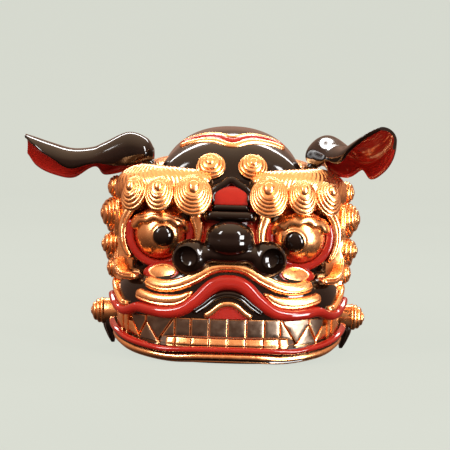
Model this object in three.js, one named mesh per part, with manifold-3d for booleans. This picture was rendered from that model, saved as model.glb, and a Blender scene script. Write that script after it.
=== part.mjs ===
// A lion dance head: a hollow carved head with a hinged lower jaw and two ears that turn on pegs,
// finished in black lacquer, red lacquer and gold leaf.
// Millimetres, +Z up. The face looks along -Y and +X is on the viewer's right.
// The origin lies on the flat underside of the jaw, on the middle plane of the face.
import * as THREE from "three";
import { mergeVertices } from "three/addons/utils/BufferGeometryUtils.js";
import Module from "manifold-3d";

const wasm = await Module();
wasm.setup();

// Driving dimensions
const SHELL = {
  halfWidth: 126,
  bottom: 56,
  top: 226,
  front: -112,
  centre: -10,
  rear: 165,
  rearDrop: 18,
  wall: 9,
  archPower: 5,
  planPower: 3,
};
const CROWN = { wall: 9, base: 180, archPower: 2.2, bandDip: 4, bandTrim: 0.4 };
const PLAN_POWER = 2.5; // how square the muzzle, jaw and teeth are in plan
const MUZZLE = { halfWidth: 131, back: -60, front: -160, bottom: 52, top: 112, noseRise: 26 };
const BRIDGE = { back: -104, power: 0.7, inlay: 8, hollow: 0.004 };
const JAW = { back: -55, rear: 100, rearHalfWidth: 110, wall: 11, floor: 7, sideRise: 10 };
const TEETH = { halfWidth: 128, back: -55, front: -159.5, thickness: 8, biteGap: 1.4 };
const HINGE = { x: 104, y: 115, z: 78, pegRadius: 5, armRadius: 16, armThickness: 10, armFront: 40 };
const EYE = { x: 79, y: -104, z: 142, radius: 31, pupilRadius: 12, pupilDepth: 6, socketDepth: 26 };
const NOSE = { wingX: 43, wingY: -149, wingZ: 119, nostrilRadius: 10, nostrilFloor: 4, nostrilReach: 30 };
const TUFT = { x: 146, y: -22, z: 40, radius: 15, height: 17, sunk: 18 };
const EAR = { pegRadius: 6, pegLength: 25, pegReach: 0.3 };
const CLEARANCE = 0.4; // between pieces that are carved to meet
const SEAT_GAP = 0.6; // under a piece that lies on a curved face
const RUNNING_CLEARANCE = 0.6; // round the pegs that turn
const OVERCUT = 20; // how far a cutting solid runs past the wall that it cuts

// Finishes
const lacquer = (color) => new THREE.MeshStandardMaterial({ color, roughness: 0.12, metalness: 0 });
const BLACK = lacquer(0x17100d);
const RED = lacquer(0xb5170f);
const GOLD = new THREE.MeshStandardMaterial({ color: 0xe8a94e, roughness: 0.22, metalness: 1 });
const WOOD = new THREE.MeshStandardMaterial({ color: 0x6b4a2c, roughness: 0.6, metalness: 0 });

// Small helpers
const vec = (x, y, z) => new THREE.Vector3(x, y, z);
const radians = THREE.MathUtils.degToRad;
const power = (value, exponent) => Math.pow(Math.max(value, 0), exponent);
const range = (count) => Array.from({ length: count }, (_, i) => i);
const SIDES = [
  { name: "left", sign: -1 },
  { name: "right", sign: 1 },
];

// Looks a value up in a table with named columns, with straight lines between its rows.
function lookUp(table, key, at, column) {
  const next = table.findIndex((row) => row[key] >= at);
  if (next === 0) return table[0][column];
  if (next < 0) return table.at(-1)[column];
  const [a, b] = [table[next - 1], table[next]];
  return THREE.MathUtils.mapLinear(at, a[key], b[key], a[column], b[column]);
}

// Solids

// A closed triangle mesh as a solid: shared points are merged, collapsed triangles are dropped, and its faces
// are turned to point out.
function toSolid(geometry) {
  const bare = new THREE.BufferGeometry().setAttribute("position", geometry.getAttribute("position").clone());
  if (geometry.index) bare.setIndex(geometry.index.clone());
  const merged = mergeVertices(bare, 1e-3);
  const index = merged.index.array;
  const points = merged.attributes.position;
  const corner = (i) => new THREE.Vector3().fromBufferAttribute(points, i);
  const kept = [];
  let volume = 0;
  for (let i = 0; i < index.length; i += 3) {
    const [a, b, c] = index.slice(i, i + 3);
    if (a === b || b === c || c === a) continue;
    kept.push([a, b, c]);
    volume += corner(a).dot(corner(b).cross(corner(c)));
  }
  const triVerts = new Uint32Array((volume < 0 ? kept.map(([a, b, c]) => [a, c, b]) : kept).flat());
  return new wasm.Manifold(new wasm.Mesh({ numProp: 3, vertProperties: points.array, triVerts }));
}

function toGeometry(solid) {
  const mesh = solid.getMesh();
  const position = new THREE.BufferAttribute(new Float32Array(mesh.vertProperties), mesh.numProp);
  const geometry = new THREE.BufferGeometry().setAttribute("position", position);
  geometry.setIndex(new THREE.BufferAttribute(new Uint32Array(mesh.triVerts), 1));
  geometry.computeVertexNormals();
  return geometry;
}

function meshFrom(points, triangles) {
  const geometry = new THREE.BufferGeometry().setFromPoints(points).setIndex(triangles);
  return toSolid(geometry);
}

// The solid with each of its points moved out along its normal, which leaves a gap where it is cut away.
function grown(solid, gap = CLEARANCE) {
  const geometry = toGeometry(solid);
  const points = geometry.attributes.position;
  const normals = geometry.attributes.normal;
  for (const i of range(points.count))
    points.setXYZ(
      i,
      points.getX(i) + gap * normals.getX(i),
      points.getY(i) + gap * normals.getY(i),
      points.getZ(i) + gap * normals.getZ(i),
    );
  return toSolid(geometry);
}

function largestBody(solid) {
  return solid.decompose().reduce((best, body) => (body.volume() > best.volume() ? body : best));
}

// A solid through rings of equal length, with a fan on each end.
function loft(rings) {
  const n = rings[0].length;
  const points = rings.flat();
  const triangles = [];
  for (const i of range(rings.length - 1))
    for (const j of range(n)) {
      const [a, b] = [i * n + j, i * n + ((j + 1) % n)];
      triangles.push(a, b, b + n, a, b + n, a + n);
    }
  [rings[0], rings.at(-1)].forEach((ring, end) => {
    const middle = ring.reduce((sum, p) => sum.add(p), vec(0, 0, 0)).divideScalar(n);
    const start = end * (points.length - n - end);
    points.push(middle);
    for (const j of range(n)) {
      const pair = [start + j, start + ((j + 1) % n)];
      triangles.push(points.length - 1, ...(end ? pair : pair.reverse()));
    }
  });
  return meshFrom(points, triangles);
}

// A sheet with thickness: the outer and inner grids of points, closed along their four edges.
function wall(outer, inner) {
  const [rows, columns] = [outer.length, outer[0].length];
  const points = [...outer.flat(), ...inner.flat()];
  const at = (i, j, layer) => layer * rows * columns + i * columns + j;
  const triangles = [];
  const quad = (a, b, c, d) => triangles.push(a, b, c, a, c, d);
  for (const i of range(rows - 1))
    for (const j of range(columns - 1)) {
      quad(at(i, j, 0), at(i, j + 1, 0), at(i + 1, j + 1, 0), at(i + 1, j, 0));
      quad(at(i, j, 1), at(i + 1, j, 1), at(i + 1, j + 1, 1), at(i, j + 1, 1));
    }
  for (const i of range(rows - 1)) {
    quad(at(i, 0, 0), at(i + 1, 0, 0), at(i + 1, 0, 1), at(i, 0, 1));
    const last = columns - 1;
    quad(at(i, last, 0), at(i, last, 1), at(i + 1, last, 1), at(i + 1, last, 0));
  }
  for (const j of range(columns - 1)) {
    const last = rows - 1;
    quad(at(0, j, 0), at(0, j, 1), at(0, j + 1, 1), at(0, j + 1, 0));
    quad(at(last, j, 0), at(last, j + 1, 0), at(last, j + 1, 1), at(last, j, 1));
  }
  return meshFrom(points, triangles);
}

function ellipsoid(centre, radii, around = 12, down = 7) {
  const geometry = new THREE.SphereGeometry(1, around, down);
  geometry.rotateX(Math.PI / 2);
  geometry.scale(radii.x, radii.y, radii.z);
  geometry.translate(centre.x, centre.y, centre.z);
  return toSolid(geometry);
}

// The turn that takes a shape made along +Y to another direction.
function turnTo(direction) {
  return new THREE.Quaternion().setFromUnitVectors(vec(0, 1, 0), direction.clone().normalize());
}

function cylinder(from, to, radius, sides = 12) {
  const along = to.clone().sub(from);
  const geometry = new THREE.CylinderGeometry(radius, radius, along.length(), sides);
  geometry.applyQuaternion(turnTo(along));
  const middle = from.clone().lerp(to, 0.5);
  geometry.translate(middle.x, middle.y, middle.z);
  return toSolid(geometry);
}

// A snail curl: a terraced cone that stands on `foot` and points along `axis`.
function snailCurl({ foot, axis, radius, height, terraces, sunk, sides = 9 }) {
  const [riserShare, treadOverlap] = [0.55, 0.07];
  const profile = [new THREE.Vector2(0, -sunk), new THREE.Vector2(radius, -sunk)];
  for (const k of range(terraces)) {
    const next = (k + 1) / terraces;
    const outer = radius * (1 - k / terraces);
    const inner = radius * (1 - next + treadOverlap);
    profile.push(new THREE.Vector2(outer, (height * (k + riserShare)) / terraces));
    if (k + 1 < terraces) profile.push(new THREE.Vector2(inner, height * next));
  }
  profile.push(new THREE.Vector2(0, height));
  const geometry = new THREE.LatheGeometry(profile, sides);
  geometry.applyQuaternion(turnTo(axis));
  geometry.translate(foot.x, foot.y, foot.z);
  return toSolid(geometry);
}

// A raised roll along a path of {point, normal} stations: round outside, with a flat back that lies `sunk`
// below the path, or just clear of the surface that the path follows.
function roll(path, halfWidth, height, { sunk = -SEAT_GAP, widthAt = () => 1 } = {}) {
  const section = [
    { side: -1, rise: -sunk },
    { side: -0.8, rise: 0.6 * height },
    { side: 0, rise: height },
    { side: 0.8, rise: 0.6 * height },
    { side: 1, rise: -sunk },
  ];
  const rings = path.map(({ point, normal }, i) => {
    const before = path[Math.max(i - 1, 0)].point;
    const after = path[Math.min(i + 1, path.length - 1)].point;
    const across = after.clone().sub(before).cross(normal).normalize();
    const width = halfWidth * widthAt(i / (path.length - 1));
    return section.map(({ side, rise }) =>
      point
        .clone()
        .addScaledVector(across, side * width)
        .addScaledVector(normal, rise),
    );
  });
  return loft(rings);
}

// Stations along a smooth curve through {turn, z} rows, on a surface that gives a point and its normal.
function pathOn(surface, rows, steps) {
  const curve = new THREE.CatmullRomCurve3(rows.map(({ turn, z }) => vec(turn, z, 0)));
  return curve.getPoints(steps).map((p) => surface(p.x, p.y));
}

const turned = (rows, sign) => rows.map((row) => ({ ...row, turn: sign * row.turn }));
const mirrored = (rows) => [...turned(rows.slice(1), -1).reverse(), ...rows];

// Plan curve of the muzzle, the jaw or a row of teeth: `turn` runs from 0 in front to 90 degrees at the side.
function planPoint(turn, halfWidth, back, front) {
  const angle = radians(Math.abs(turn));
  const x = Math.sign(turn) * halfWidth * power(Math.sin(angle), 2 / PLAN_POWER);
  const y = back + (front - back) * power(Math.cos(angle), 2 / PLAN_POWER);
  return { x, y };
}

const PLAN_TURNS = range(13).map((j) => -90 + 15 * j);

function normalFrom(surface, turn, z) {
  const step = 0.5;
  const along = surface(turn + step, z).sub(surface(turn - step, z));
  const up = surface(turn, z + step).sub(surface(turn, z - step));
  return along.cross(up).normalize();
}

// An arch across the head from left to right, square-shouldered as far as its exponent is above 2.
function arch({ y, base, halfWidth, height, exponent, steps }) {
  return range(steps + 1).map((j) => {
    const angle = (Math.PI * j) / steps;
    const side = -Math.sign(Math.cos(angle)) * power(Math.abs(Math.cos(angle)), 2 / exponent);
    return vec(halfWidth * side, y, base + height * power(Math.sin(angle), 2 / exponent));
  });
}

// Head shell: nested arches from the middle of the chin line back to the open rear, where the roof is lower
const roofDrop = (y) => (SHELL.rearDrop * Math.max(y - SHELL.centre, 0)) / (SHELL.rear - SHELL.centre);

const shellArch = (share, y, inset) =>
  arch({
    y,
    base: SHELL.bottom,
    halfWidth: (SHELL.halfWidth - inset) * share,
    height: (SHELL.top - inset - SHELL.bottom) * share - roofDrop(y),
    exponent: SHELL.archPower,
    steps: 12,
  });

function shellGrid(inset, rear) {
  const depth = SHELL.centre - SHELL.front - inset;
  const shares = [0, 0.45, 0.75, 0.93, 1];
  const front = shares.map((share) => {
    const y = SHELL.centre - depth * power(1 - share ** SHELL.planPower, 1 / SHELL.planPower);
    return shellArch(share, y, inset);
  });
  return [...front, shellArch(1, rear, inset)];
}

// The hollow of the shell as a solid, longer than the shell behind and below, for cutting.
function shellHollow() {
  const outer = shellGrid(SHELL.wall, SHELL.rear + OVERCUT);
  const below = outer.map((row) => row.map((p) => vec(p.x, p.y, SHELL.bottom - OVERCUT)));
  return wall(outer, below);
}

// Crown: a dome let into the top of the shell
const CROWN_ROWS = [
  { y: -113, halfWidth: 48, top: 206 },
  { y: -100, halfWidth: 82, top: 236 },
  { y: -78, halfWidth: 92, top: 250 },
  { y: -35, halfWidth: 88, top: 260 },
  { y: 70, halfWidth: 88, top: 260 },
  { y: SHELL.rear, halfWidth: 85, top: 249 },
];

const crownArch = (y, inset) =>
  arch({
    y,
    base: CROWN.base,
    halfWidth: lookUp(CROWN_ROWS, "y", y, "halfWidth") - inset,
    height: lookUp(CROWN_ROWS, "y", y, "top") - inset - CROWN.base,
    exponent: CROWN.archPower,
    steps: 10,
  });

function crownSolid(inset, rear) {
  const rings = CROWN_ROWS.map(({ y }) => crownArch(y, inset).map((p) => p.add(vec(0, inset, 0))));
  rings.at(-1).forEach((p) => p.setY(rear));
  return loft(rings);
}

// A band that crosses the crown from side to side, with a dip in the middle of the forehead.
function crownBand(y, halfWidth, height) {
  const step = 3;
  const last = crownArch(y, 0).length - 1;
  const path = range(last + 1).map((j) => {
    const at = j === last / 2 ? y - CROWN.bandDip : y;
    const [ahead, line, behind] = [at - step, at, at + step].map((spot) => crownArch(spot, 0));
    const point = line[j];
    if (j === 0) point.lerp(line[1], CROWN.bandTrim);
    if (j === last) point.lerp(line[last - 1], CROWN.bandTrim);
    const across = line[Math.min(j + 1, last)].clone().sub(line[Math.max(j - 1, 0)]);
    const normal = across.cross(behind[j].sub(ahead[j])).normalize();
    return { point, normal };
  });
  return roll(path, halfWidth, height);
}

// Muzzle: a dome over the mouth, higher in the middle where the nose sits
const muzzleTop = (turn) => MUZZLE.top + MUZZLE.noseRise * Math.cos(radians(turn)) ** 8;

function muzzlePoint(turn, z) {
  const lift = Math.max(z - MUZZLE.bottom, 0) / (muzzleTop(turn) - MUZZLE.bottom);
  const spread = power(1 - lift ** 4, 1 / 3);
  const { x, y } = planPoint(turn, MUZZLE.halfWidth, 0, MUZZLE.front - MUZZLE.back);
  return vec(x * spread, MUZZLE.back + y * spread, z);
}

const onMuzzle = (turn, z) => ({ point: muzzlePoint(turn, z), normal: normalFrom(muzzlePoint, turn, z) });

function muzzleSolid() {
  const lifts = [0, 0.5, 0.78, 0.93, 0.995];
  const rings = lifts.map((lift) =>
    PLAN_TURNS.map((turn) => muzzlePoint(turn, THREE.MathUtils.lerp(MUZZLE.bottom, muzzleTop(turn), lift))),
  );
  return loft(rings);
}

// Nose: a broad bulb with a wing and a nostril on each side
const NOSE_LOBES = {
  bulb: { centre: vec(0, -152, 143), radii: vec(27, 25, 19) },
  base: { centre: vec(0, -142, 125), radii: vec(57, 21, 12) },
};
const WING_RADII = vec(21, 18, 20);

function noseSolid() {
  let nose = ellipsoid(NOSE_LOBES.bulb.centre, NOSE_LOBES.bulb.radii, 8, 4);
  nose = nose.add(ellipsoid(NOSE_LOBES.base.centre, NOSE_LOBES.base.radii, 8, 4));
  for (const { sign } of SIDES) {
    const centre = vec(sign * NOSE.wingX, NOSE.wingY, NOSE.wingZ);
    const outward = vec(sign * 0.35, -0.9, 0.05).normalize();
    const [floor, mouth] = [NOSE.nostrilFloor, NOSE.nostrilReach].map((reach) =>
      centre.clone().addScaledVector(outward, reach),
    );
    nose = nose.add(ellipsoid(centre, WING_RADII, 8, 4));
    nose = nose.subtract(cylinder(floor, mouth, NOSE.nostrilRadius, 8));
  }
  return nose;
}

// Brow: a thick roll of hair that turns the corner of the head, with a crest that runs up to the crown
const BROW_ROWS = [
  { x: 20, y: -112, z: 199, halfHeight: 17, halfDepth: 17, crest: 0 },
  { x: 44, y: -112, z: 195, halfHeight: 22, halfDepth: 24, crest: 0 },
  { x: 80, y: -106, z: 195, halfHeight: 22, halfDepth: 26, crest: 3 },
  { x: 108, y: -92, z: 193, halfHeight: 22, halfDepth: 26, crest: 5 },
  { x: 119, y: -68, z: 190, halfHeight: 21, halfDepth: 20, crest: 2 },
  { x: 121, y: -36, z: 187, halfHeight: 16, halfDepth: 14, crest: 0 },
];
const BROW_CURLS = [
  { x: 113, y: -112, z: 187, outward: 0.5, radius: 16.5, height: 25 },
  { x: 81, y: -127, z: 187, outward: 0.12, radius: 15.5, height: 26 },
  { x: 43, y: -131, z: 186, outward: -0.05, radius: 21, height: 27 },
];

const BROW_SIDES = 7;
const BROW_CREST = { from: 50, to: 180 }; // degrees from the front of the roll over its top

function crestShare(angle) {
  const share = (THREE.MathUtils.radToDeg(angle) - BROW_CREST.from) / (BROW_CREST.to - BROW_CREST.from);
  return Math.sin(Math.PI * THREE.MathUtils.clamp(share, 0, 1)) ** 2;
}

function browSolid(sign) {
  const rings = BROW_ROWS.map((row, i) => {
    const before = BROW_ROWS[Math.max(i - 1, 0)];
    const after = BROW_ROWS[Math.min(i + 1, BROW_ROWS.length - 1)];
    const along = vec(after.x - before.x, after.y - before.y, 0).normalize();
    return range(BROW_SIDES).map((j) => {
      const angle = (2 * Math.PI * j) / BROW_SIDES;
      const out = row.halfDepth * Math.cos(angle);
      return vec(
        sign * (row.x + along.y * out),
        row.y - along.x * out,
        row.z + row.halfHeight * Math.sin(angle) + row.crest * crestShare(angle),
      );
    });
  });
  return loft(rings);
}

// Rings round an eye, on an axis that looks forward and a little outward. Their angles run from 0 on the
// outer side through 90 on top.
const EYE_RINGS = [
  { piece: "eye_rim", radius: 34.8, thickness: 3.8, forward: 9, from: -200, to: 20, steps: 10 },
  { piece: "eyelid", radius: 43.6, thickness: 4.4, forward: 6, from: -40, to: 44, steps: 6 },
  { piece: "tear_fold", radius: 44.2, thickness: 4.4, forward: 14, from: 156, to: 202, steps: 4 },
];
const eyeAxis = (sign) => vec(sign * 0.12, -1, 0.05).normalize();

function eyeRing(sign, { radius, thickness, forward, from, to, steps }) {
  const axis = eyeAxis(sign);
  const centre = vec(sign * EYE.x, EYE.y, EYE.z).addScaledVector(axis, forward);
  const outer = vec(0, 0, 1).cross(axis).normalize().multiplyScalar(sign);
  const up = vec(0, 0, 1).addScaledVector(axis, -axis.z).normalize();
  const path = range(steps + 1).map((j) => {
    const angle = radians(THREE.MathUtils.lerp(from, to, j / steps));
    const out = outer.clone().multiplyScalar(Math.cos(angle)).addScaledVector(up, Math.sin(angle));
    const point = centre.clone().addScaledVector(out, radius);
    return { point, normal: axis.clone() };
  });
  return roll(path, thickness, thickness * 1.1, { sunk: EYE.socketDepth });
}

// Teeth: both rows share one zigzag bite line, which is level in front and pointed at the corners
const BITE_ROWS = [
  { turn: 0, z: 30.5 },
  { turn: 24, z: 30.5 },
  { turn: 33, z: 24.5 },
  { turn: 42, z: 45 },
  { turn: 48, z: 28.5 },
  { turn: 55, z: 44 },
  { turn: 64, z: 44 },
];
const biteLine = (turn) => lookUp(BITE_ROWS, "turn", Math.abs(turn), "z");

function teethWall(topAt, bottomAt) {
  const curveTurns = [8, 16];
  const turns = [...BITE_ROWS.map(({ turn }) => turn), ...curveTurns].sort((a, b) => a - b);
  const bothSides = mirrored(turns.map((turn) => ({ turn })));
  const line = (inset, heightAt) =>
    bothSides.map(({ turn }) => {
      const { x, y } = planPoint(turn, TEETH.halfWidth - inset, TEETH.back, TEETH.front + inset);
      return vec(x, y, heightAt(turn));
    });
  return wall(
    [line(0, topAt), line(0, bottomAt)],
    [line(TEETH.thickness, topAt), line(TEETH.thickness, bottomAt)],
  );
}

// Jaw: a shallow boat with a flat bottom and an open rear
const JAW_LEVELS = [
  { z: 0, halfWidth: 94, front: -151 },
  { z: 6, halfWidth: 117, front: -161 },
  { z: 13, halfWidth: 131, front: -166 },
  { z: 20, halfWidth: 135, front: -167 },
];
const jawRise = (turn) => JAW.sideRise * Math.sin(radians(turn)) ** 4;

function jawPoint(turn, z) {
  const level = Math.max(z - (jawRise(turn) * z) / JAW_LEVELS.at(-1).z, 0);
  const halfWidth = lookUp(JAW_LEVELS, "z", level, "halfWidth");
  const { x, y } = planPoint(turn, halfWidth, JAW.back, lookUp(JAW_LEVELS, "z", level, "front"));
  return vec(x, y, z);
}

const onJaw = (turn, z) => ({ point: jawPoint(turn, z), normal: normalFrom(jawPoint, turn, z) });

function jawRing({ z, halfWidth, front }, inset, rear) {
  const topLevel = JAW_LEVELS.at(-1).z;
  const ring = PLAN_TURNS.map((turn) => {
    const { x, y } = planPoint(turn, halfWidth - inset, JAW.back, front + inset);
    return vec(x, y, z + (jawRise(turn) * z) / topLevel);
  });
  const rearHalf = Math.min(halfWidth, JAW.rearHalfWidth) - inset;
  const rearZ = z + (JAW.sideRise * z) / topLevel;
  return [vec(-rearHalf, rear, rearZ), ...ring, vec(rearHalf, rear, rearZ)];
}

// A plate cut to an outline in Y and Z, `thickness` thick from the plane at `fromX`.
function sidePlate(outline, fromX, thickness, curveSegments) {
  const plate = new THREE.ExtrudeGeometry(outline, { depth: thickness, bevelEnabled: false, curveSegments });
  plate.applyMatrix4(new THREE.Matrix4().makeBasis(vec(0, 1, 0), vec(0, 0, 1), vec(1, 0, 0)));
  plate.translate(fromX, 0, 0);
  return toSolid(plate);
}

function jawSolid() {
  const boat = loft(JAW_LEVELS.map((level) => jawRing(level, 0, JAW.rear)));
  const hollowLevels = JAW_LEVELS.slice(1).map((level) => ({ ...level, z: level.z + 1 }));
  hollowLevels[0].z = JAW.floor;
  hollowLevels.at(-1).z += OVERCUT;
  const hollow = loft(hollowLevels.map((level) => jawRing(level, JAW.wall, JAW.rear + OVERCUT)));
  const arm = new THREE.Shape();
  arm.moveTo(HINGE.armFront, 3);
  arm.lineTo(JAW.rear - 2, 3);
  arm.lineTo(HINGE.y + HINGE.armRadius, HINGE.z);
  arm.absarc(HINGE.y, HINGE.z, HINGE.armRadius, 0, Math.PI, false);
  arm.lineTo(HINGE.armFront, 26);
  arm.closePath();
  return SIDES.reduce((jaw, { sign }) => {
    const fromX = sign * HINGE.x - HINGE.armThickness / 2;
    return jaw.add(sidePlate(arm, fromX, HINGE.armThickness, 6));
  }, boat.subtract(hollow));
}

// Mane: curls on a raised bed at the side of the head
const MANE_CURLS = [
  { y: -58, z: 160, radius: 19, height: 19 },
  { y: -62, z: 124, radius: 14, height: 17 },
  { y: -60, z: 96, radius: 12, height: 10 },
  { y: -46, z: 190, radius: 13, height: 12 },
  { y: -20, z: 148, radius: 18, height: 15 },
  { y: -24, z: 112, radius: 17, height: 14 },
];

const MANE_BED = { from: 112, to: 133 };

function maneSolid(sign) {
  const outline = new THREE.Shape();
  outline.moveTo(-78, 84);
  outline.lineTo(-6, 84);
  outline.quadraticCurveTo(14, 130, 0, 176);
  outline.lineTo(-40, 204);
  outline.lineTo(-74, 178);
  outline.closePath();
  const fromX = sign > 0 ? MANE_BED.from : -MANE_BED.to;
  const bed = sidePlate(outline, fromX, MANE_BED.to - MANE_BED.from, 4);
  return MANE_CURLS.reduce((solid, { y, z, radius, height }) => {
    const foot = vec(sign * MANE_BED.to, y, z);
    const axis = vec(sign, 0, 0);
    return solid.add(snailCurl({ foot, axis, radius, height, terraces: 2, sunk: 6, sides: 5 }));
  }, bed);
}

// Tuft on the side of the jaw: a curl whose tip hangs down
const TUFT_TIP_ROWS = [
  { z: 44, x: 138, halfWidth: 7, halfDepth: 9 },
  { z: 26, x: 140, halfWidth: 8, halfDepth: 13 },
  { z: 12, x: 138, halfWidth: 5.2, halfDepth: 9.8 },
  { z: 2.5, x: 136, halfWidth: 2, halfDepth: 3.8 },
];

function jawTuft(sign) {
  const foot = vec(sign * TUFT.x, TUFT.y, TUFT.z);
  const curl = snailCurl({ ...TUFT, foot, axis: vec(sign, 0, 0), terraces: 2 });
  const tipSides = 6;
  const tip = loft(
    TUFT_TIP_ROWS.map(({ z, x, halfWidth, halfDepth }) =>
      range(tipSides).map((j) => {
        const angle = (2 * Math.PI * j) / tipSides;
        return vec(sign * x + halfWidth * Math.cos(angle), TUFT.y + halfDepth * Math.sin(angle), z);
      }),
    ),
  );
  return curl.add(tip);
}

// Ear: a scoop along its own +X axis, open below, with a near flap in front and a longer far flap behind.
// A section is `height` high above its middle and its flaps hang on a curve `drop` deep.
const EAR_ROWS = [
  { along: -17, lift: -3, halfWidth: 9, height: 9, drop: 6, wall: 5, near: 130, far: 130 },
  { along: -8, lift: 0, halfWidth: 18, height: 18, drop: 13, wall: 12, near: 134, far: 134 },
  { along: 14, lift: 1, halfWidth: 21, height: 23, drop: 25, wall: 14, near: 124, far: 148 },
  { along: 42, lift: -7, halfWidth: 23, height: 18, drop: 25, wall: 5, near: 102, far: 144 },
  { along: 56, lift: -12, halfWidth: 25, height: 17, drop: 20, wall: 5, near: 95, far: 106 },
  { along: 80, lift: -14, halfWidth: 26, height: 17, drop: 32, wall: 5, near: 98, far: 122 },
  { along: 105, lift: -9, halfWidth: 26, height: 18, drop: 32, wall: 5, near: 78, far: 127 },
  { along: 125, lift: -2, halfWidth: 23, height: 17, drop: 29, wall: 5, near: 50, far: 125 },
  { along: 136, lift: 4, halfWidth: 17, height: 14, drop: 22, wall: 4, near: 20, far: 112 },
];

function earScoop(sign) {
  const steps = 6;
  const layer = (depth) =>
    EAR_ROWS.map((row) =>
      range(steps + 1).map((j) => {
        const angle = radians(THREE.MathUtils.lerp(-row.near, row.far, j / steps));
        const inset = depth * row.wall;
        const rise = Math.cos(angle);
        const reach = rise > 0 ? row.height : row.drop;
        return vec(
          sign * row.along,
          (row.halfWidth - inset) * Math.sin(angle),
          row.lift + (reach - inset) * rise,
        );
      }),
    );
  return wall(layer(0), layer(1));
}

// Where each ear sits, and how it has turned: rolled open to the front, lifted, and swung forward
const EAR_SEATS = [
  { name: "left", sign: -1, root: vec(-109, -38, 230), roll: 2, lift: 0, swing: -5 },
  { name: "right", sign: 1, root: vec(106, -38, 231), roll: 9, lift: 10, swing: 62 },
];
const pegAxis = (sign) => vec(sign, 0, 1).normalize();

// Assembly: each piece is cut clear of the pieces that were placed before it
const solids = new Map();
const keepOuts = [];

function place(name, solid) {
  const clear = keepOuts.reduce((rest, keepOut) => {
    const [a, b] = [rest.boundingBox(), keepOut.boundingBox()];
    const apart = [0, 1, 2].some((k) => a.min[k] > b.max[k] || b.min[k] > a.max[k]);
    return apart ? rest : rest.subtract(keepOut);
  }, solid);
  solids.set(name, largestBody(clear));
  keepOuts.push(grown(solid).add(solid));
}

const head = new THREE.Group();
const jaw = new THREE.Group();
const lionHead = new THREE.Group();
lionHead.add(jaw, head);

function show(group, material, ...names) {
  for (const name of names) {
    const mesh = new THREE.Mesh(toGeometry(solids.get(name)), material);
    mesh.name = name;
    group.add(mesh);
  }
}

// Shell and crown share one hollow. The shell has a hole for each ear peg and each hinge peg.
const hollow = shellHollow();
const crownOutside = crownSolid(0, SHELL.rear);
let shell = wall(shellGrid(0, SHELL.rear), shellGrid(SHELL.wall, SHELL.rear));
shell = shell.subtract(grown(crownOutside, SEAT_GAP));
for (const { sign } of SIDES) {
  const [near, far] = [-1, 1].map((way) => vec(sign * SHELL.halfWidth + way * OVERCUT, HINGE.y, HINGE.z));
  shell = shell.subtract(cylinder(near, far, HINGE.pegRadius + RUNNING_CLEARANCE));
}
for (const { sign, root } of EAR_SEATS) {
  const [low, high] = [-3, 1].map((way) => root.clone().addScaledVector(pegAxis(sign), way * OVERCUT));
  shell = shell.subtract(cylinder(low, high, EAR.pegRadius + RUNNING_CLEARANCE));
}
place("head_shell", shell);
place("crown", crownOutside.subtract(crownSolid(CROWN.wall, SHELL.rear + OVERCUT)).subtract(hollow));

const CROWN_BANDS = [
  { piece: "front", y: -79.5, halfWidth: 4.6, height: 3 },
  { piece: "mid", y: -68.8, halfWidth: 4, height: 2.8 },
  { piece: "rear", y: -61, halfWidth: 2.2, height: 2.4 },
];
for (const { piece, y, halfWidth, height } of CROWN_BANDS)
  place(`crown_band_${piece}`, crownBand(y, halfWidth, height));

place("muzzle", muzzleSolid().subtract(hollow));
const bridgeRings = [
  { z: 128, halfWidth: 36, front: -146 },
  { z: 158, halfWidth: 31, front: -138 },
  { z: 180, halfWidth: 25, front: -128 },
  { z: 204, halfWidth: 22, front: -120 },
];
place(
  "bridge",
  loft(
    bridgeRings.map(({ z, halfWidth, front }) =>
      range(9).map((j) => {
        const angle = radians(-90 + (180 * j) / 8);
        const forward = power(Math.cos(angle), BRIDGE.power);
        return vec(halfWidth * Math.sin(angle), THREE.MathUtils.lerp(BRIDGE.back, front, forward), z);
      }),
    ),
  ),
);
place("nose", noseSolid());

for (const { name, sign } of SIDES) {
  const centre = vec(sign * EYE.x, EYE.y, EYE.z);
  place(`eye_${name}`, ellipsoid(centre, vec(EYE.radius, EYE.radius, EYE.radius), 10, 6));
  const pupilAxis = vec(sign * -0.12, -1, -0.02).normalize();
  const pupil = centre.clone().addScaledVector(pupilAxis, EYE.radius - EYE.pupilDepth / 3);
  place(`pupil_${name}`, ellipsoid(pupil, vec(EYE.pupilRadius, EYE.pupilDepth, EYE.pupilRadius), 8, 4));
  for (const ring of EYE_RINGS) place(`${ring.piece}_${name}`, eyeRing(sign, ring));
}

for (const { name, sign } of SIDES) place(`brow_${name}`, browSolid(sign));
const FOREHEAD_CURL = { x: 24, y: -106, z: 220, radius: 16.5, height: 15, terraces: 2, sunk: 12 };
for (const { name, sign } of SIDES) {
  BROW_CURLS.forEach(({ x, y, z, outward, radius, height }, i) => {
    const axis = vec(sign * outward, -0.84, 0.5);
    const foot = vec(sign * x, y, z);
    place(`brow_curl_${name}_${i + 1}`, snailCurl({ foot, axis, radius, height, terraces: 3, sunk: 14 }));
  });
  const foot = vec(sign * FOREHEAD_CURL.x, FOREHEAD_CURL.y, FOREHEAD_CURL.z);
  const axis = vec(sign * 0.1, -0.8, 0.6);
  place(`forehead_curl_${name}`, snailCurl({ ...FOREHEAD_CURL, foot, axis }));
}

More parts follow.
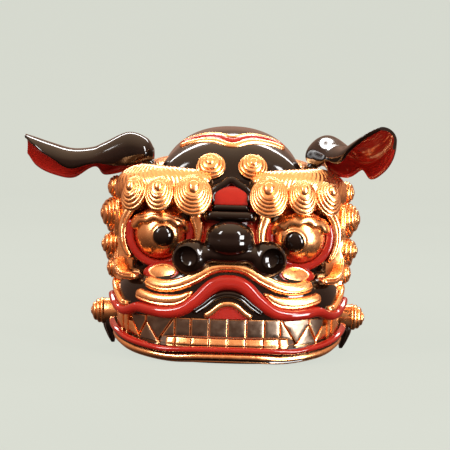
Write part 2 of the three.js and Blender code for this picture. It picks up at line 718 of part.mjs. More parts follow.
// Middle of the brow: a black gable over a red panel, and a black double ridge over the nose
const bridgeFace = (x, z) => ({
  point: vec(x, lookUp(bridgeRings, "z", z, "front") + BRIDGE.hollow * x * x, z),
  normal: vec(0, -1, 0.3).normalize(),
});
const bridgePath = (rows) => rows.map(({ x, z }) => bridgeFace(x, z));
const inlay = { sunk: BRIDGE.inlay };
const levelRows = (z, halfLength, steps) =>
  range(steps + 1).map((i) => ({ x: halfLength * ((2 * i) / steps - 1), z }));
const gable = levelRows(205, 23, 4).map(({ x, z }) => ({ x, z: z - 0.55 * Math.abs(x) }));
place("forehead_frame", roll(bridgePath(gable), 4, 6, inlay));
place("forehead_panel", roll(bridgePath(levelRows(189, 17, 2)), 9.5, 5, inlay));
const upperRidge = roll(bridgePath(levelRows(174, 22, 3)), 4.2, 8, inlay);
const lowerRidge = roll(bridgePath(levelRows(165, 29, 3)), 5.8, 10, inlay);
place("bridge_ridge", upperRidge.add(lowerRidge));

// Folds of the muzzle, from the nose down to the lip
const STRIPE_UPPER = mirrored([
  { turn: 0, z: 109 },
  { turn: 6, z: 106 },
  { turn: 13, z: 96 },
  { turn: 22, z: 87 },
  { turn: 32, z: 86 },
  { turn: 44, z: 91 },
]);
const STRIPE_SIDE = [
  { turn: 13, z: 82 },
  { turn: 19, z: 73 },
  { turn: 26, z: 70 },
  { turn: 36, z: 71 },
  { turn: 49, z: 76 },
];
const CHEEK_FOLDS = [
  [
    { turn: 82, z: 108 },
    { turn: 75, z: 99 },
    { turn: 64, z: 93.5 },
    { turn: 50, z: 94 },
  ],
  [
    { turn: 88, z: 82.5 },
    { turn: 74, z: 72 },
    { turn: 63, z: 62 },
    { turn: 56, z: 62 },
  ],
];
const CHEEK_FOLD = { halfWidth: 3.8, height: 4.5, sunk: 8 };

// The cheek: the plan of the muzzle carried straight up to the mane
function cheekPoint(turn, z) {
  const { x, y } = planPoint(turn, MUZZLE.halfWidth, MUZZLE.back, MUZZLE.front);
  return vec(x, y, z);
}

const onCheek = (turn, z) => ({ point: cheekPoint(turn, z), normal: normalFrom(cheekPoint, turn, z) });

const UPPER_LIP = mirrored([
  { turn: 0, z: 93 },
  { turn: 5, z: 88 },
  { turn: 11, z: 73 },
  { turn: 18, z: 61 },
  { turn: 26, z: 57 },
  { turn: 36, z: 58 },
  { turn: 46, z: 60 },
  { turn: 56, z: 54.5 },
  { turn: 64, z: 54.5 },
  { turn: 73, z: 60 },
  { turn: 86, z: 69 },
]);
const LIP_LINE = mirrored([
  { turn: 0, z: 80 },
  { turn: 4, z: 76 },
  { turn: 8, z: 67 },
  { turn: 13, z: 58 },
]);
const LIP_ARCH = mirrored([
  { turn: 0, z: 70 },
  { turn: 3.2, z: 66 },
  { turn: 7, z: 56 },
]);
const LIP_FIELD = mirrored([
  { turn: 0, z: 58.5 },
  { turn: 3, z: 57 },
]);
const narrowEnds = (share) => 0.55 + 0.45 * Math.sin(Math.PI * Math.min(0.5, 4 * share, 4 - 4 * share));
const taper = (share) => 0.45 + 0.55 * Math.sin(Math.PI * Math.min(share * 2.4 + 0.08, 0.5));

const CHEEK_PAD = { x: 72, y: -123, z: 98, radii: vec(25, 18, 14) };

place("upper_lip", roll(pathOn(onMuzzle, UPPER_LIP, 20), 6.6, 9, { widthAt: narrowEnds }));
place("muzzle_stripe_upper", roll(pathOn(onMuzzle, STRIPE_UPPER, 12), 5.6, 7));
for (const { name, sign } of SIDES) {
  const stripe = pathOn(onMuzzle, turned(STRIPE_SIDE, sign), 8);
  place(`muzzle_stripe_${name}`, roll(stripe, 5.2, 6, { widthAt: taper }));
  CHEEK_FOLDS.forEach((rows, i) => {
    const path = pathOn(onCheek, turned(rows, sign), 5);
    place(`cheek_fold_${name}_${i + 1}`, roll(path, CHEEK_FOLD.halfWidth, CHEEK_FOLD.height, CHEEK_FOLD));
  });
  const pad = vec(sign * CHEEK_PAD.x, CHEEK_PAD.y, CHEEK_PAD.z);
  place(`cheek_pad_${name}`, ellipsoid(pad, CHEEK_PAD.radii, 7, 4));
}
place("lip_line", roll(pathOn(onMuzzle, LIP_LINE, 8), 4, 6));
place("lip_arch", roll(pathOn(onMuzzle, LIP_ARCH, 8), 3, 6));
place("lip_field", roll(pathOn(onMuzzle, LIP_FIELD, 4), 6.5, 4));
place("upper_teeth", teethWall(() => MUZZLE.bottom - SEAT_GAP, biteLine));
for (const { name, sign } of SIDES) place(`mane_${name}`, maneSolid(sign));

// Lower jaw
place("jaw_tray", jawSolid());
const lowerBite = (turn) => biteLine(turn) - TEETH.biteGap;
const jawRim = (turn) => JAW_LEVELS.at(-1).z + jawRise(turn) + 2 * SEAT_GAP;
place("lower_teeth", teethWall(lowerBite, jawRim));
const LAST_TURN = 88;
const alongJaw = (height) =>
  PLAN_TURNS.map((turn) => ({
    turn: THREE.MathUtils.clamp(turn, -LAST_TURN, LAST_TURN),
    z: height + jawRise(turn) * (height / JAW_LEVELS.at(-1).z),
  }));
place("jaw_gum", roll(pathOn(onJaw, alongJaw(17.5), 12), 3.2, 4));
place("jaw_lip", roll(pathOn(onJaw, alongJaw(8.5), 12), 4.8, 5.5, { sunk: -2 * SEAT_GAP }));
for (const { name, sign } of SIDES) {
  place(`jaw_tuft_${name}`, jawTuft(sign));
  const pegEnds = [HINGE.x - HINGE.armThickness / 2 - 2, SHELL.halfWidth + 4];
  const [inner, outer] = pegEnds.map((x) => vec(sign * x, HINGE.y, HINGE.z));
  place(`hinge_peg_${name}`, cylinder(inner, outer, HINGE.pegRadius));
}

// Ears, each in its own turned group, on a peg that slopes into the shoulder of the shell
for (const { name, sign, root, roll: rolled, lift, swing } of EAR_SEATS) {
  const ear = new THREE.Group();
  ear.position.copy(root);
  ear.rotation.set(radians(-rolled), radians(-sign * lift), radians(-sign * swing), "ZYX");
  const intoEar = ear.quaternion.clone().invert();
  const pegEnd = pegAxis(sign).multiplyScalar(-EAR.pegLength).applyQuaternion(intoEar);
  const peg = cylinder(pegEnd, pegEnd.clone().multiplyScalar(-EAR.pegReach), EAR.pegRadius, 8);
  const mesh = new THREE.Mesh(toGeometry(earScoop(sign).add(peg)), BLACK);
  mesh.name = `ear_${name}`;
  ear.add(mesh);
  head.add(ear);
}

const named = (pattern) => [...solids.keys()].filter((name) => pattern.test(name));
show(head, BLACK, "head_shell", "crown", "muzzle", "nose", "forehead_frame", "bridge_ridge", "lip_line");
show(head, BLACK, ...named(/^pupil_/));
show(head, RED, "crown_band_mid", "forehead_panel", "bridge", "upper_lip", "lip_field");
show(head, RED, ...named(/^(eye_rim|cheek_pad)_/));
show(head, GOLD, "crown_band_front", "crown_band_rear", "upper_teeth", "lip_arch");
show(head, GOLD, ...named(/^(eye_(left|right)|eyelid|tear_fold|brow|forehead_curl)/));
show(head, GOLD, ...named(/^(muzzle_stripe|cheek_fold|mane)/));
show(jaw, BLACK, "jaw_tray");
show(jaw, RED, "jaw_gum");
show(jaw, GOLD, "jaw_lip", "lower_teeth", ...named(/^jaw_tuft_/));
show(jaw, WOOD, ...named(/^hinge_peg_/));

export default lionHead;
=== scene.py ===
"""The looks of a lion dance head: carved wood in black lacquer, red lacquer and gold leaf.

Lengths are in millimetres in the part's own frame, and become metres when a mesh is made.
+Z is up, the face looks along -Y, and +X is on the viewer's right.
"""
import math
from collections import namedtuple
from types import SimpleNamespace as Sizes

import bmesh
import bpy
import numpy as np
from mathutils import Matrix, Vector


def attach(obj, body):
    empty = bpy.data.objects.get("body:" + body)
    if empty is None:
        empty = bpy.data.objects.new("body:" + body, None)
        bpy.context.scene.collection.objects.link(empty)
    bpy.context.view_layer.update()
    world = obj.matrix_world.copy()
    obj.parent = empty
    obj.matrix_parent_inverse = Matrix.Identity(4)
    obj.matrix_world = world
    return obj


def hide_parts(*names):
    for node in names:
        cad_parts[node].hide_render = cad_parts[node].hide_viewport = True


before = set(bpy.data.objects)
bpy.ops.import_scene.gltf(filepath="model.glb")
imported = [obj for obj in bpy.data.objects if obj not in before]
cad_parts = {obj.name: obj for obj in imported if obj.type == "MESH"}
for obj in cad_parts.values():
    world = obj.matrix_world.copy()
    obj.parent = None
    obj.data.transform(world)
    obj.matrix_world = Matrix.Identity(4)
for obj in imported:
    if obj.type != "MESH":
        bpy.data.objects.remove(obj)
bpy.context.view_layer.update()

MM = 0.001
SIDES = (("left", -1), ("right", 1))

# Driving dimensions, shared with the solids
SHELL = Sizes(half_width=126, bottom=56, top=226, front=-112, centre=-10, rear=165, rear_drop=18, wall=9)
SHELL_ARCH_POWER = 5
SHELL_PLAN_POWER = 3
CROWN = Sizes(base=180, wall=9, arch_power=2.2)
PLAN_POWER = 2.5
MUZZLE = Sizes(half_width=131, back=-60, front=-160, bottom=52, top=112, nose_rise=26)
JAW = Sizes(back=-55, rear=100, rear_half_width=110, wall=11, floor=7, side_rise=10, rim=20)
TEETH = Sizes(half_width=128, back=-55, front=-159.5, thickness=8, top=51.4, bite_gap=1.4)
HINGE = Sizes(x=104, y=115, z=78, peg_radius=5, clearance=0.6, arm_radius=16, arm_thickness=10)
EYE = Sizes(x=79, y=-104, z=142, radius=31, pupil_radius=12, pupil_front=6.5, pupil_back=2.0)
CUT_OVER = 20  # how far a cutter runs past what it cuts


# Numbers and curves

def unit(vectors):
    vectors = np.asarray(vectors, float)
    return vectors / np.maximum(np.linalg.norm(vectors, axis=-1, keepdims=True), 1e-9)


def smooth(rows, count, ends_dense=False):
    """A smooth curve through the rows of a table, as `count` rows."""
    rows = np.asarray(rows, float)
    share = np.linspace(0, 1, count)
    if ends_dense:
        share = 0.5 - 0.5 * np.cos(np.pi * share)
    at = share * (len(rows) - 1)
    first = np.minimum(at.astype(int), len(rows) - 2)
    f = (at - first)[:, None]
    padded = np.vstack([2 * rows[0] - rows[1], rows, 2 * rows[-1] - rows[-2]])
    a, b, c, d = (padded[first + k] for k in range(4))
    return 0.5 * (2 * b + (c - a) * f + (2 * a - 5 * b + 4 * c - d) * f**2 + (3 * b - a - 3 * c + d) * f**3)


def full_turn(count):
    return np.linspace(0, 2 * np.pi, count, endpoint=False)


def run_along(points):
    """Length along a line of points, at each of them."""
    steps = np.linalg.norm(np.diff(points, axis=0), axis=1)
    return np.concatenate([[0], np.cumsum(steps)])


def place_of(spot, sign):
    """The place of a named spot on the left or right side."""
    return np.array((sign * spot.x, spot.y, spot.z))


def mirrored(rows):
    """The rows of a half, whose first column is zero on the middle plane, with the other half before them."""
    rows = np.asarray(rows, float)
    other = rows[:0:-1].copy()
    other[:, 0] *= -1
    return np.vstack([other, rows])


def bell(value, width):
    return np.exp(-((value / width) ** 2))


def plan(turn, half_width, back, front):
    """Plan curve of the muzzle, the jaw and the teeth: `turn` is 0 in front and 90 degrees at the side."""
    angle = np.radians(np.abs(turn))
    x = np.sign(turn) * half_width * np.sin(angle) ** (2 / PLAN_POWER)
    y = back + (front - back) * np.maximum(np.cos(angle), 0) ** (2 / PLAN_POWER)
    return x, y


def paired(turn, z):
    return np.broadcast_arrays(np.asarray(turn, float), np.asarray(z, float))


def normals_of(surface, turn, z, step=0.4):
    along = surface(turn + step, z) - surface(turn - step, z)
    rise = surface(turn, z + step) - surface(turn, z - step)
    return unit(np.cross(along, rise))


# Meshes

class Form:
    """Collects grids of points into one mesh. A finish is an index into the piece's list of materials."""

    def __init__(self):
        self.points = []
        self.faces = []
        self.finishes = []
        self.count = 0

    def grid(self, points, finish=0, around=False, capped=(False, False)):
        rows, columns = points.shape[:2]
        index = self.count + np.arange(rows * columns).reshape(rows, columns)
        if around:
            index = np.hstack([index, index[:, :1]])
        corners = (index[:-1, :-1], index[:-1, 1:], index[1:, 1:], index[1:, :-1])
        quads = np.stack(corners, -1)
        finishes = np.broadcast_to(np.asarray(finish), quads.shape[:2])
        self.faces += quads.reshape(-1, 4).tolist()
        self.finishes += finishes.reshape(-1).tolist()
        for closed, row in zip(capped, (index[0], index[-1])):
            if closed:
                self.faces.append(row[:columns].tolist())
                self.finishes.append(int(finishes[0, 0]))
        self.points.append(points.reshape(-1, 3))
        self.count += rows * columns

    def mesh(self, name):
        mesh = bpy.data.meshes.new(name)
        mesh.from_pydata((np.vstack(self.points) * MM).tolist(), [], self.faces)
        mesh.polygons.foreach_set("material_index", self.finishes)
        tidy_mesh(mesh)
        return mesh


def tidy_mesh(mesh, merge_mm=0.01):
    """Merges points that lie together, drops faces that have collapsed and turns the rest to face out."""
    work = bmesh.new()
    work.from_mesh(mesh)
    bmesh.ops.remove_doubles(work, verts=work.verts, dist=merge_mm * MM)
    bmesh.ops.dissolve_degenerate(work, dist=1e-7, edges=work.edges)
    bmesh.ops.recalc_face_normals(work, faces=work.faces)
    work.to_mesh(mesh)
    work.free()


def loose_object(name, form):
    made = bpy.data.objects.new(name, form.mesh(name))
    bpy.context.scene.collection.objects.link(made)
    return made


def apply_modifiers(piece):
    graph = bpy.context.evaluated_depsgraph_get()
    mesh = bpy.data.meshes.new_from_object(piece.evaluated_get(graph))
    piece.modifiers.clear()
    old = piece.data
    piece.data = mesh
    bpy.data.meshes.remove(old)


def cut(piece, cutter, keep_cutter=False):
    modifier = piece.modifiers.new("cut", "BOOLEAN")
    modifier.operation = "DIFFERENCE"
    modifier.solver = "EXACT"
    modifier.object = cutter
    apply_modifiers(piece)
    if not keep_cutter:
        bpy.data.objects.remove(cutter)


def fuse(piece, voxel, smoothing):
    """Melts the overlapping bodies of a piece into one skin."""
    remesh = piece.modifiers.new("remesh", "REMESH")
    remesh.mode = "VOXEL"
    remesh.voxel_size = voxel * MM
    soften = piece.modifiers.new("soften", "SMOOTH")
    soften.factor = 0.5
    soften.iterations = smoothing
    apply_modifiers(piece)


def finish_piece(piece, body, finishes, nodes, sharp_deg=38):
    """Gives a piece its finishes, the body that it rides on and the nodes that it stands for."""
    for finish in finishes:
        piece.data.materials.append(MATERIALS[finish])
    piece.data.shade_smooth()
    piece.data.set_sharp_from_angle(angle=math.radians(sharp_deg))
    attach(piece, body)
    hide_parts(*nodes)
    return piece


def carved(node, body, form, *finishes, sharp_deg=38):
    return finish_piece(loose_object(f"carved_{node}", form), body, finishes, [node], sharp_deg)


# Shapes

def lathe(form, centre, axis, profile, count=48):
    """A body turned round an axis from (radius, along) rows that start and end on the axis."""
    axis = unit(axis)
    side = unit(np.cross(axis, (0, 0, 1) if abs(axis[2]) < 0.9 else (1, 0, 0)))
    other = np.cross(axis, side)
    angle = full_turn(count)
    ring = np.cos(angle)[:, None] * side + np.sin(angle)[:, None] * other
    profile = np.asarray(profile, float)
    points = centre + profile[:, 0, None, None] * ring + profile[:, 1, None, None] * axis
    form.grid(points, around=True)


def ridge(half_width, height, sunk, grooves=(), power=2.4, count=26):
    """Section of a carved roll as (side, rise) rows: a round top with (at, width, depth) grooves."""
    side = np.sin(np.linspace(-np.pi / 2, np.pi / 2, count))
    rise = height * np.maximum(1 - np.abs(side) ** power, 0) ** (1 / power)
    for at, width, depth in grooves:
        rise = rise - depth * bell(side - at, width) * (np.abs(side) < 0.999)
    top = np.stack([side * half_width, rise], -1)
    return np.vstack([top, [[half_width, -sunk], [-half_width, -sunk]]])


def sweep(form, points, normals, section, finish=0, rounded=(True, True), width=None):
    """A roll along a path on a surface. Rounded ends run out to a point."""
    tangents = np.gradient(points, axis=0)
    across = unit(np.cross(tangents, normals))
    run = run_along(points)
    reach = 1.1 * np.abs(section[:, 0]).max()
    scale = np.ones(len(points))
    for is_round, distance in zip(rounded, (run, run[-1] - run)):
        if is_round:
            scale *= np.sqrt(np.maximum(1 - np.clip(1 - distance / reach, 0, 1) ** 2, 0))
    sides = scale if width is None else scale * width(run / run[-1])
    rings = (
        points[:, None]
        + sides[:, None, None] * section[None, :, :1] * across[:, None]
        + scale[:, None, None] * section[None, :, 1:] * normals[:, None]
    )
    form.grid(rings, finish, around=True, capped=[not is_round for is_round in rounded])


WHORL_DEPTH = 0.42  # of the distance from whorl to whorl
CURL_BASE = 0.62  # size of the hidden base against the foot


def curl(form, foot, axis, size, whorls, dome=0.0, lean=0.0, sunk=6, turn=1, base=CURL_BASE):
    """A snail curl: a rope that winds up from an oval foot to a round knob.

    `size` is its half width, half length and height. `lean` moves the knob towards the upper edge of the
    foot, and `dome` swells the cone towards a dome. `base` is the size of its hidden end.
    """
    half_width, half_length, height = size
    out = unit(axis)
    up = unit(np.array((0, 0, 1)) - out[2] * out)
    side = np.cross(up, out)
    knob = 0.30
    shoulder = 0.44 - 0.10 * dome
    knob_rise = 0.26 - 0.18 * dome
    share = np.linspace(0, 1, 24 * whorls)[:, None]
    angle = full_turn(84)[None, :]
    part = (whorls * share + turn * angle / (2 * np.pi)) % 1
    rope = np.sqrt(np.maximum(1 - (2 * part - 1) ** 2, 0)) - 0.6
    fade = np.minimum(1, 8 * share) * np.minimum(1, 10 * (1 - share))
    climb = (1 - knob_rise) * share
    radius = (1 - dome) * (1 - (1 - shoulder) * share) + dome * np.sqrt(1 - (1 - knob**2) * share**2)
    flank = np.array((height * (1 - knob_rise), half_width * (1 - shoulder)))
    rise_out, rise_up = unit(flank) * WHORL_DEPTH * np.linalg.norm(flank) / whorls
    climb = climb + fade * rope * rise_up / height
    radius = radius + fade * rope * rise_out / half_width
    rounding = np.linspace(0, np.pi / 2, 14)[:, None] + 0 * angle
    radius = np.concatenate([radius, knob * np.cos(rounding) ** 0.7])
    climb = np.concatenate([climb, 1 - knob_rise + knob_rise * np.sin(rounding)])
    oval_foot = np.cos(angle)[..., None] * side * half_width + np.sin(angle)[..., None] * up * half_length
    middle = foot + climb[..., None] * (height * out + lean * up)
    skin = middle + radius[..., None] * oval_foot
    hidden = foot + base * oval_foot - sunk * out
    form.grid(np.concatenate([hidden, skin]), around=True, capped=(True, False))


def plate(form, outline, place, depth, bevel, face=0, steps=6):
    """A bevelled plate with a convex outline. `place` sets (along, across, out) rows in space.

    `face` is the finish of its flat front, and its edges have the first finish.
    """
    outline = np.asarray(outline, float)
    ahead = np.roll(outline, -1, axis=0)
    edge = unit(ahead - outline)
    area = np.sum(outline[:, 0] * ahead[:, 1] - ahead[:, 0] * outline[:, 1])
    inward = np.stack([-edge[:, 1], edge[:, 0]], -1) * np.sign(area)
    before = np.roll(inward, 1, axis=0)
    corner = (inward + before) / (1 + np.sum(inward * before, axis=1, keepdims=True))

    def ring(inset, out):
        corners = outline + inset * corner
        t = np.linspace(0, 1, steps, endpoint=False)[None, :, None]
        line = corners[:, None] * (1 - t) + np.roll(corners, -1, axis=0)[:, None] * t
        line = line.reshape(-1, 2)
        return np.column_stack([line, np.full(len(line), out)])

    rounds = [ring(0, -depth), ring(0, -bevel), ring(0.3 * bevel, -0.3 * bevel), ring(bevel, 0)]
    middle = rounds[-1].mean(axis=0)
    rounds += [middle + (rounds[-1] - middle) * share for share in (0.5, 0)]
    finish = np.array([0, 0, 0, face, face])[:, None]
    form.grid(np.stack([place(rows) for rows in rounds]), finish, around=True, capped=(True, False))


def arch(y, base, half_width, height, power, steps, angle=None):
    """Rows of points over the head from left to right, for arrays of places and sizes."""
    angle = (np.linspace(0, np.pi, steps) if angle is None else angle)[None, :]
    x = -np.sign(np.cos(angle)) * np.abs(np.cos(angle)) ** (2 / power) * half_width[:, None]
    z = base + np.sin(angle).clip(0) ** (2 / power) * height[:, None]
    return np.stack([x, np.broadcast_to(y[:, None], x.shape), z], -1)


def closed_wall(form, outer, inner):
    """A wall between two grids of points, closed along its four edges."""
    form.grid(outer)
    form.grid(inner)
    for side in (np.s_[0], np.s_[-1]):
        form.grid(np.stack([outer[side], inner[side]]))
        form.grid(np.stack([outer[:, side], inner[:, side]]))


# Finishes

def add_node(tree, kind, inputs=(), **settings):
    made = tree.nodes.new(kind)
    for name, value in settings.items():
        setattr(made, name, value)
    for name, value in dict(inputs).items():
        made.inputs[name].default_value = value
    return made


def noise(tree, place, scale, detail=3.0, roughness=0.5):
    made = add_node(tree, "ShaderNodeTexNoise", {"Scale": scale, "Detail": detail, "Roughness": roughness})
    tree.links.new(place, made.inputs["Vector"])
    return made.outputs["Fac"]


def ramp(tree, value, stops):
    """Colours along a value: rows of (place, colour)."""
    made = add_node(tree, "ShaderNodeValToRGB")
    elements = made.color_ramp.elements
    for element, (place, colour) in zip(elements, (stops[0], stops[-1])):
        element.position = place
        element.color = (*colour, 1)
    for place, colour in stops[1:-1]:
        elements.new(place).color = (*colour, 1)
    tree.links.new(value, made.inputs["Fac"])
    return made.outputs["Color"]


def spread(tree, value, low, high):
    """The middle of a noise value, from 0.3 to 0.7, spread over another range."""
    limits = {"From Min": 0.3, "From Max": 0.7, "To Min": low, "To Max": high}
    made = add_node(tree, "ShaderNodeMapRange", limits)
    tree.links.new(value, made.inputs["Value"])
    return made.outputs["Result"]


def new_finish(name, constants):
    material = bpy.data.materials.new(name)
    material.use_nodes = True
    tree = material.node_tree
    shader = tree.nodes["Principled BSDF"]
    for socket, value in constants.items():
        shader.inputs[socket].default_value = value
    place = add_node(tree, "ShaderNodeTexCoord").outputs["Object"]
    return material, tree, shader, place


def add_bump(tree, shader, height, strength, distance_mm):
    bump = add_node(tree, "ShaderNodeBump", {"Strength": strength, "Distance": distance_mm * MM})
    tree.links.new(height, bump.inputs["Height"])
    tree.links.new(bump.outputs["Normal"], shader.inputs["Normal"])


def lacquer(name, stops):
    """Polished lacquer: a deep colour that changes slowly, and the slight waves of a hand-rubbed coat."""
    constants = {"Coat Weight": 0.15, "Coat Roughness": 0.03, "IOR": 1.40}
    material, tree, shader, place = new_finish(name, constants)
    tone = noise(tree, place, scale=28, detail=5)
    sheen = noise(tree, place, scale=120)
    wave = noise(tree, place, scale=55, detail=2)
    tree.links.new(ramp(tree, tone, stops), shader.inputs["Base Color"])
    tree.links.new(spread(tree, sheen, 0.06, 0.16), shader.inputs["Roughness"])
    add_bump(tree, shader, wave, strength=0.12, distance_mm=1.0)
    return material


def gold_leaf(name, stops, roughness):
    """Burnished leaf: metal with a cloudy tone and the faint waves of the wood below."""
    material, tree, shader, place = new_finish(name, {"Metallic": 1.0})
    tone = noise(tree, place, scale=45, detail=6, roughness=0.6)
    sheen = noise(tree, place, scale=160, detail=4)
    wave = noise(tree, place, scale=130)
    tree.links.new(ramp(tree, tone, stops), shader.inputs["Base Color"])
    tree.links.new(spread(tree, sheen, *roughness), shader.inputs["Roughness"])
    add_bump(tree, shader, wave, strength=0.07, distance_mm=0.6)
    return material


def bare_wood():
    """Plain wood with its grain along X."""
    material, tree, shader, place = new_finish("bare_wood", {"Roughness": 0.55})
    stretch = add_node(tree, "ShaderNodeMapping", {"Scale": (6, 90, 90)})
    tree.links.new(place, stretch.inputs["Vector"])
    grain = noise(tree, stretch.outputs["Vector"], scale=3, detail=6)
    stops = [(0.3, (0.14, 0.07, 0.03)), (0.7, (0.36, 0.21, 0.10))]
    tree.links.new(ramp(tree, grain, stops), shader.inputs["Base Color"])
    add_bump(tree, shader, grain, strength=0.3, distance_mm=0.4)
    return material


BLACK, RED, GOLD, WOOD, SHADED_LEAF = "black_lacquer", "red_lacquer", "gold_leaf", "bare_wood", "leaf_painted_shade"
MATERIALS = {
    BLACK: lacquer(BLACK, [(0.3, (0.003, 0.0012, 0.0008)), (0.7, (0.009, 0.0038, 0.0022))]),
    RED: lacquer(RED, [(0.3, (0.25, 0.010, 0.006)), (0.7, (0.36, 0.017, 0.010))]),
    GOLD: gold_leaf(GOLD, [(0.3, (0.95, 0.43, 0.17)), (0.7, (1.0, 0.54, 0.24))], (0.20, 0.34)),
    # Leaf darkened to grey-brown for the flat fronts of the teeth: painted shade, standing in for the dark
    # room that these faces reflect.
    SHADED_LEAF: gold_leaf(SHADED_LEAF, [(0.3, (0.15, 0.11, 0.08)), (0.7, (0.26, 0.19, 0.14))], (0.26, 0.42)),
    WOOD: bare_wood(),
}


# Head shell and crown

def shell_grid(inset, rear, angle=None):
    share = np.sin(np.linspace(0, np.pi / 2, 34))
    depth = SHELL.centre - SHELL.front - inset
    y = SHELL.centre - depth * (1 - share**SHELL_PLAN_POWER).clip(0) ** (1 / SHELL_PLAN_POWER)
    straight = np.linspace(SHELL.centre, rear, 20)[1:]
    share = np.concatenate([share, np.ones(len(straight))])
    y = np.concatenate([y, straight])
    half_width = (SHELL.half_width - inset) * share
    drop = SHELL.rear_drop * np.maximum(y - SHELL.centre, 0) / (SHELL.rear - SHELL.centre)
    height = (SHELL.top - inset - SHELL.bottom) * share - drop
    return arch(y, SHELL.bottom, half_width, height, SHELL_ARCH_POWER, 81, angle)


def shell_hollow():
    """The space inside the shell as a solid that runs out behind and below."""
    roof = shell_grid(SHELL.wall, SHELL.rear + CUT_OVER)
    floor = roof.copy()
    floor[..., 2] = SHELL.bottom - CUT_OVER
    form = Form()
    closed_wall(form, roof, floor)
    return loose_object("hollow", form)


CrownRow = namedtuple("CrownRow", "y half_width top")
CROWN_ROWS = (
    CrownRow(-113, 48, 206),
    CrownRow(-100, 82, 236),
    CrownRow(-78, 92, 250),
    CrownRow(-35, 88, 260),
    CrownRow(70, 88, 260),
    CrownRow(165, 85, 249),
)
CROWN_VALLEY = Sizes(depth=3.5, half_width=15, y=-84, reach=22)
CROWN_STEPS = 121


def crown_rows(y, inset=0.0):
    """The crown's arches at the given places, with a shallow valley down the middle of the forehead."""
    table = smooth(CROWN_ROWS, 200)
    half_width = np.interp(y, table[:, 0], table[:, 1]) - inset
    height = np.interp(y, table[:, 0], table[:, 2]) - inset - CROWN.base
    points = arch(np.asarray(y, float), CROWN.base, half_width, height, CROWN.arch_power, CROWN_STEPS)
    valley = bell(points[..., 0], CROWN_VALLEY.half_width) * bell(
        points[..., 1] - CROWN_VALLEY.y, CROWN_VALLEY.reach
    )
    points[..., 2] -= CROWN_VALLEY.depth * valley
    return points


def crown_solid(name, inset, rear):
    y = smooth(CROWN_ROWS, 90)[:, 0]
    rows = crown_rows(y, inset)
    rows[..., 1] += inset
    rows[-1, :, 1] = rear
    form = Form()
    form.grid(rows, around=True, capped=(True, True))
    return loose_object(name, form)


def build_shell_and_crown():
    hollow = shell_hollow()
    crown = crown_solid("carved_crown", 0, SHELL.rear)
    form = Form()
    closed_wall(form, shell_grid(0, SHELL.rear), shell_grid(SHELL.wall, SHELL.rear))
    shell = loose_object("carved_head_shell", form)
    cut(shell, crown, keep_cutter=True)
    for _, sign in SIDES:
        cut(shell, hinge_hole(sign))
    cut(crown, crown_solid("crown_hollow", CROWN.wall, SHELL.rear + CUT_OVER))
    cut(crown, hollow, keep_cutter=True)
    finish_piece(shell, "head", [BLACK], ["head_shell"])
    finish_piece(crown, "head", [BLACK], ["crown"])
    return hollow


def hinge_hole(sign):
    form = Form()
    radius = HINGE.peg_radius + HINGE.clearance
    profile = [(0, -CUT_OVER), (radius, -CUT_OVER), (radius, CUT_OVER), (0, CUT_OVER)]
    lathe(form, np.array((sign * SHELL.half_width, HINGE.y, HINGE.z)), (1, 0, 0), profile, 32)
    return loose_object("hinge_hole", form)


CrownBand = namedtuple("CrownBand", "name y half_width height finish")
CROWN_BANDS = (
    CrownBand("front", -79.5, 5.0, 3.2, GOLD),
    CrownBand("mid", -68.8, 4.6, 3.0, RED),
    CrownBand("rear", -61, 2.4, 2.6, GOLD),
)
BAND_DIP = Sizes(depth=6, half_width=15)
BAND_REACH = 63
BAND_SWEEP = 0.005


def build_crown_bands():
    """Bands over the crown that dip in the middle and sweep back towards their ends."""
    for band in CROWN_BANDS:
        flat = crown_rows([band.y])[0]
        columns = np.flatnonzero(np.abs(flat[:, 0]) < BAND_REACH)
        x = flat[columns, 0]
        y = band.y - BAND_DIP.depth * bell(x, BAND_DIP.half_width) + BAND_SWEEP * x**2
        pick = np.arange(len(columns))
        line, ahead, behind = (crown_rows(y + step)[pick, columns] for step in (0, -2, 2))
        normals = unit(np.cross(np.gradient(line, axis=0), behind - ahead))
        normals *= np.sign(normals[:, 2:])
        form = Form()
        sweep(form, line, normals, ridge(band.half_width, band.height, 1.5, power=2.0))
        carved(f"crown_band_{band.name}", "head", form, band.finish)


# Muzzle, nose and the folds between them

def muzzle_top(turn):
    return MUZZLE.top + MUZZLE.nose_rise * np.maximum(np.cos(np.radians(turn)), 0) ** 8


def muzzle(turn, z):
    turn, z = paired(turn, z)
    lift = np.clip((z - MUZZLE.bottom) / (muzzle_top(turn) - MUZZLE.bottom), 0, 1)
    fullness = (1 - lift**4) ** (1 / 3)
    x, y = plan(turn, MUZZLE.half_width, 0, MUZZLE.front - MUZZLE.back)
    return np.stack([x * fullness, MUZZLE.back + y * fullness, z], -1)


def cheek(turn, z):
    """The plan of the muzzle carried straight up to the mane."""
    turn, z = paired(turn, z)
    x, y = plan(turn, MUZZLE.half_width, MUZZLE.back, MUZZLE.front)
    return np.stack([x, y, z], -1)


def build_muzzle(hollow):
    turn = np.linspace(-90, 90, 121)[None, :]
    lift = np.sin(np.linspace(0, np.pi / 2 - 0.09, 44))[:, None]
    z = MUZZLE.bottom + lift * (muzzle_top(turn) - MUZZLE.bottom)
    form = Form()
    form.grid(muzzle(np.broadcast_to(turn, z.shape), z), around=True, capped=(True, True))
    piece = loose_object("carved_muzzle", form)
    cut(piece, hollow)
    finish_piece(piece, "head", [BLACK], ["muzzle"])


def on_surface(surface, rows, count):
    """Points and normals of a smooth path of (turn, z) rows on a surface."""
    line = smooth(rows, count, ends_dense=True)
    return surface(line[:, 0], line[:, 1]), normals_of(surface, line[:, 0], line[:, 1])


def carve_fold(node, body, surface, rows, count, section, finish, width=None):
    """A roll of one finish along a path on a surface."""
    form = Form()
    sweep(form, *on_surface(surface, rows, count), section, width=width)
    carved(node, body, form, finish)


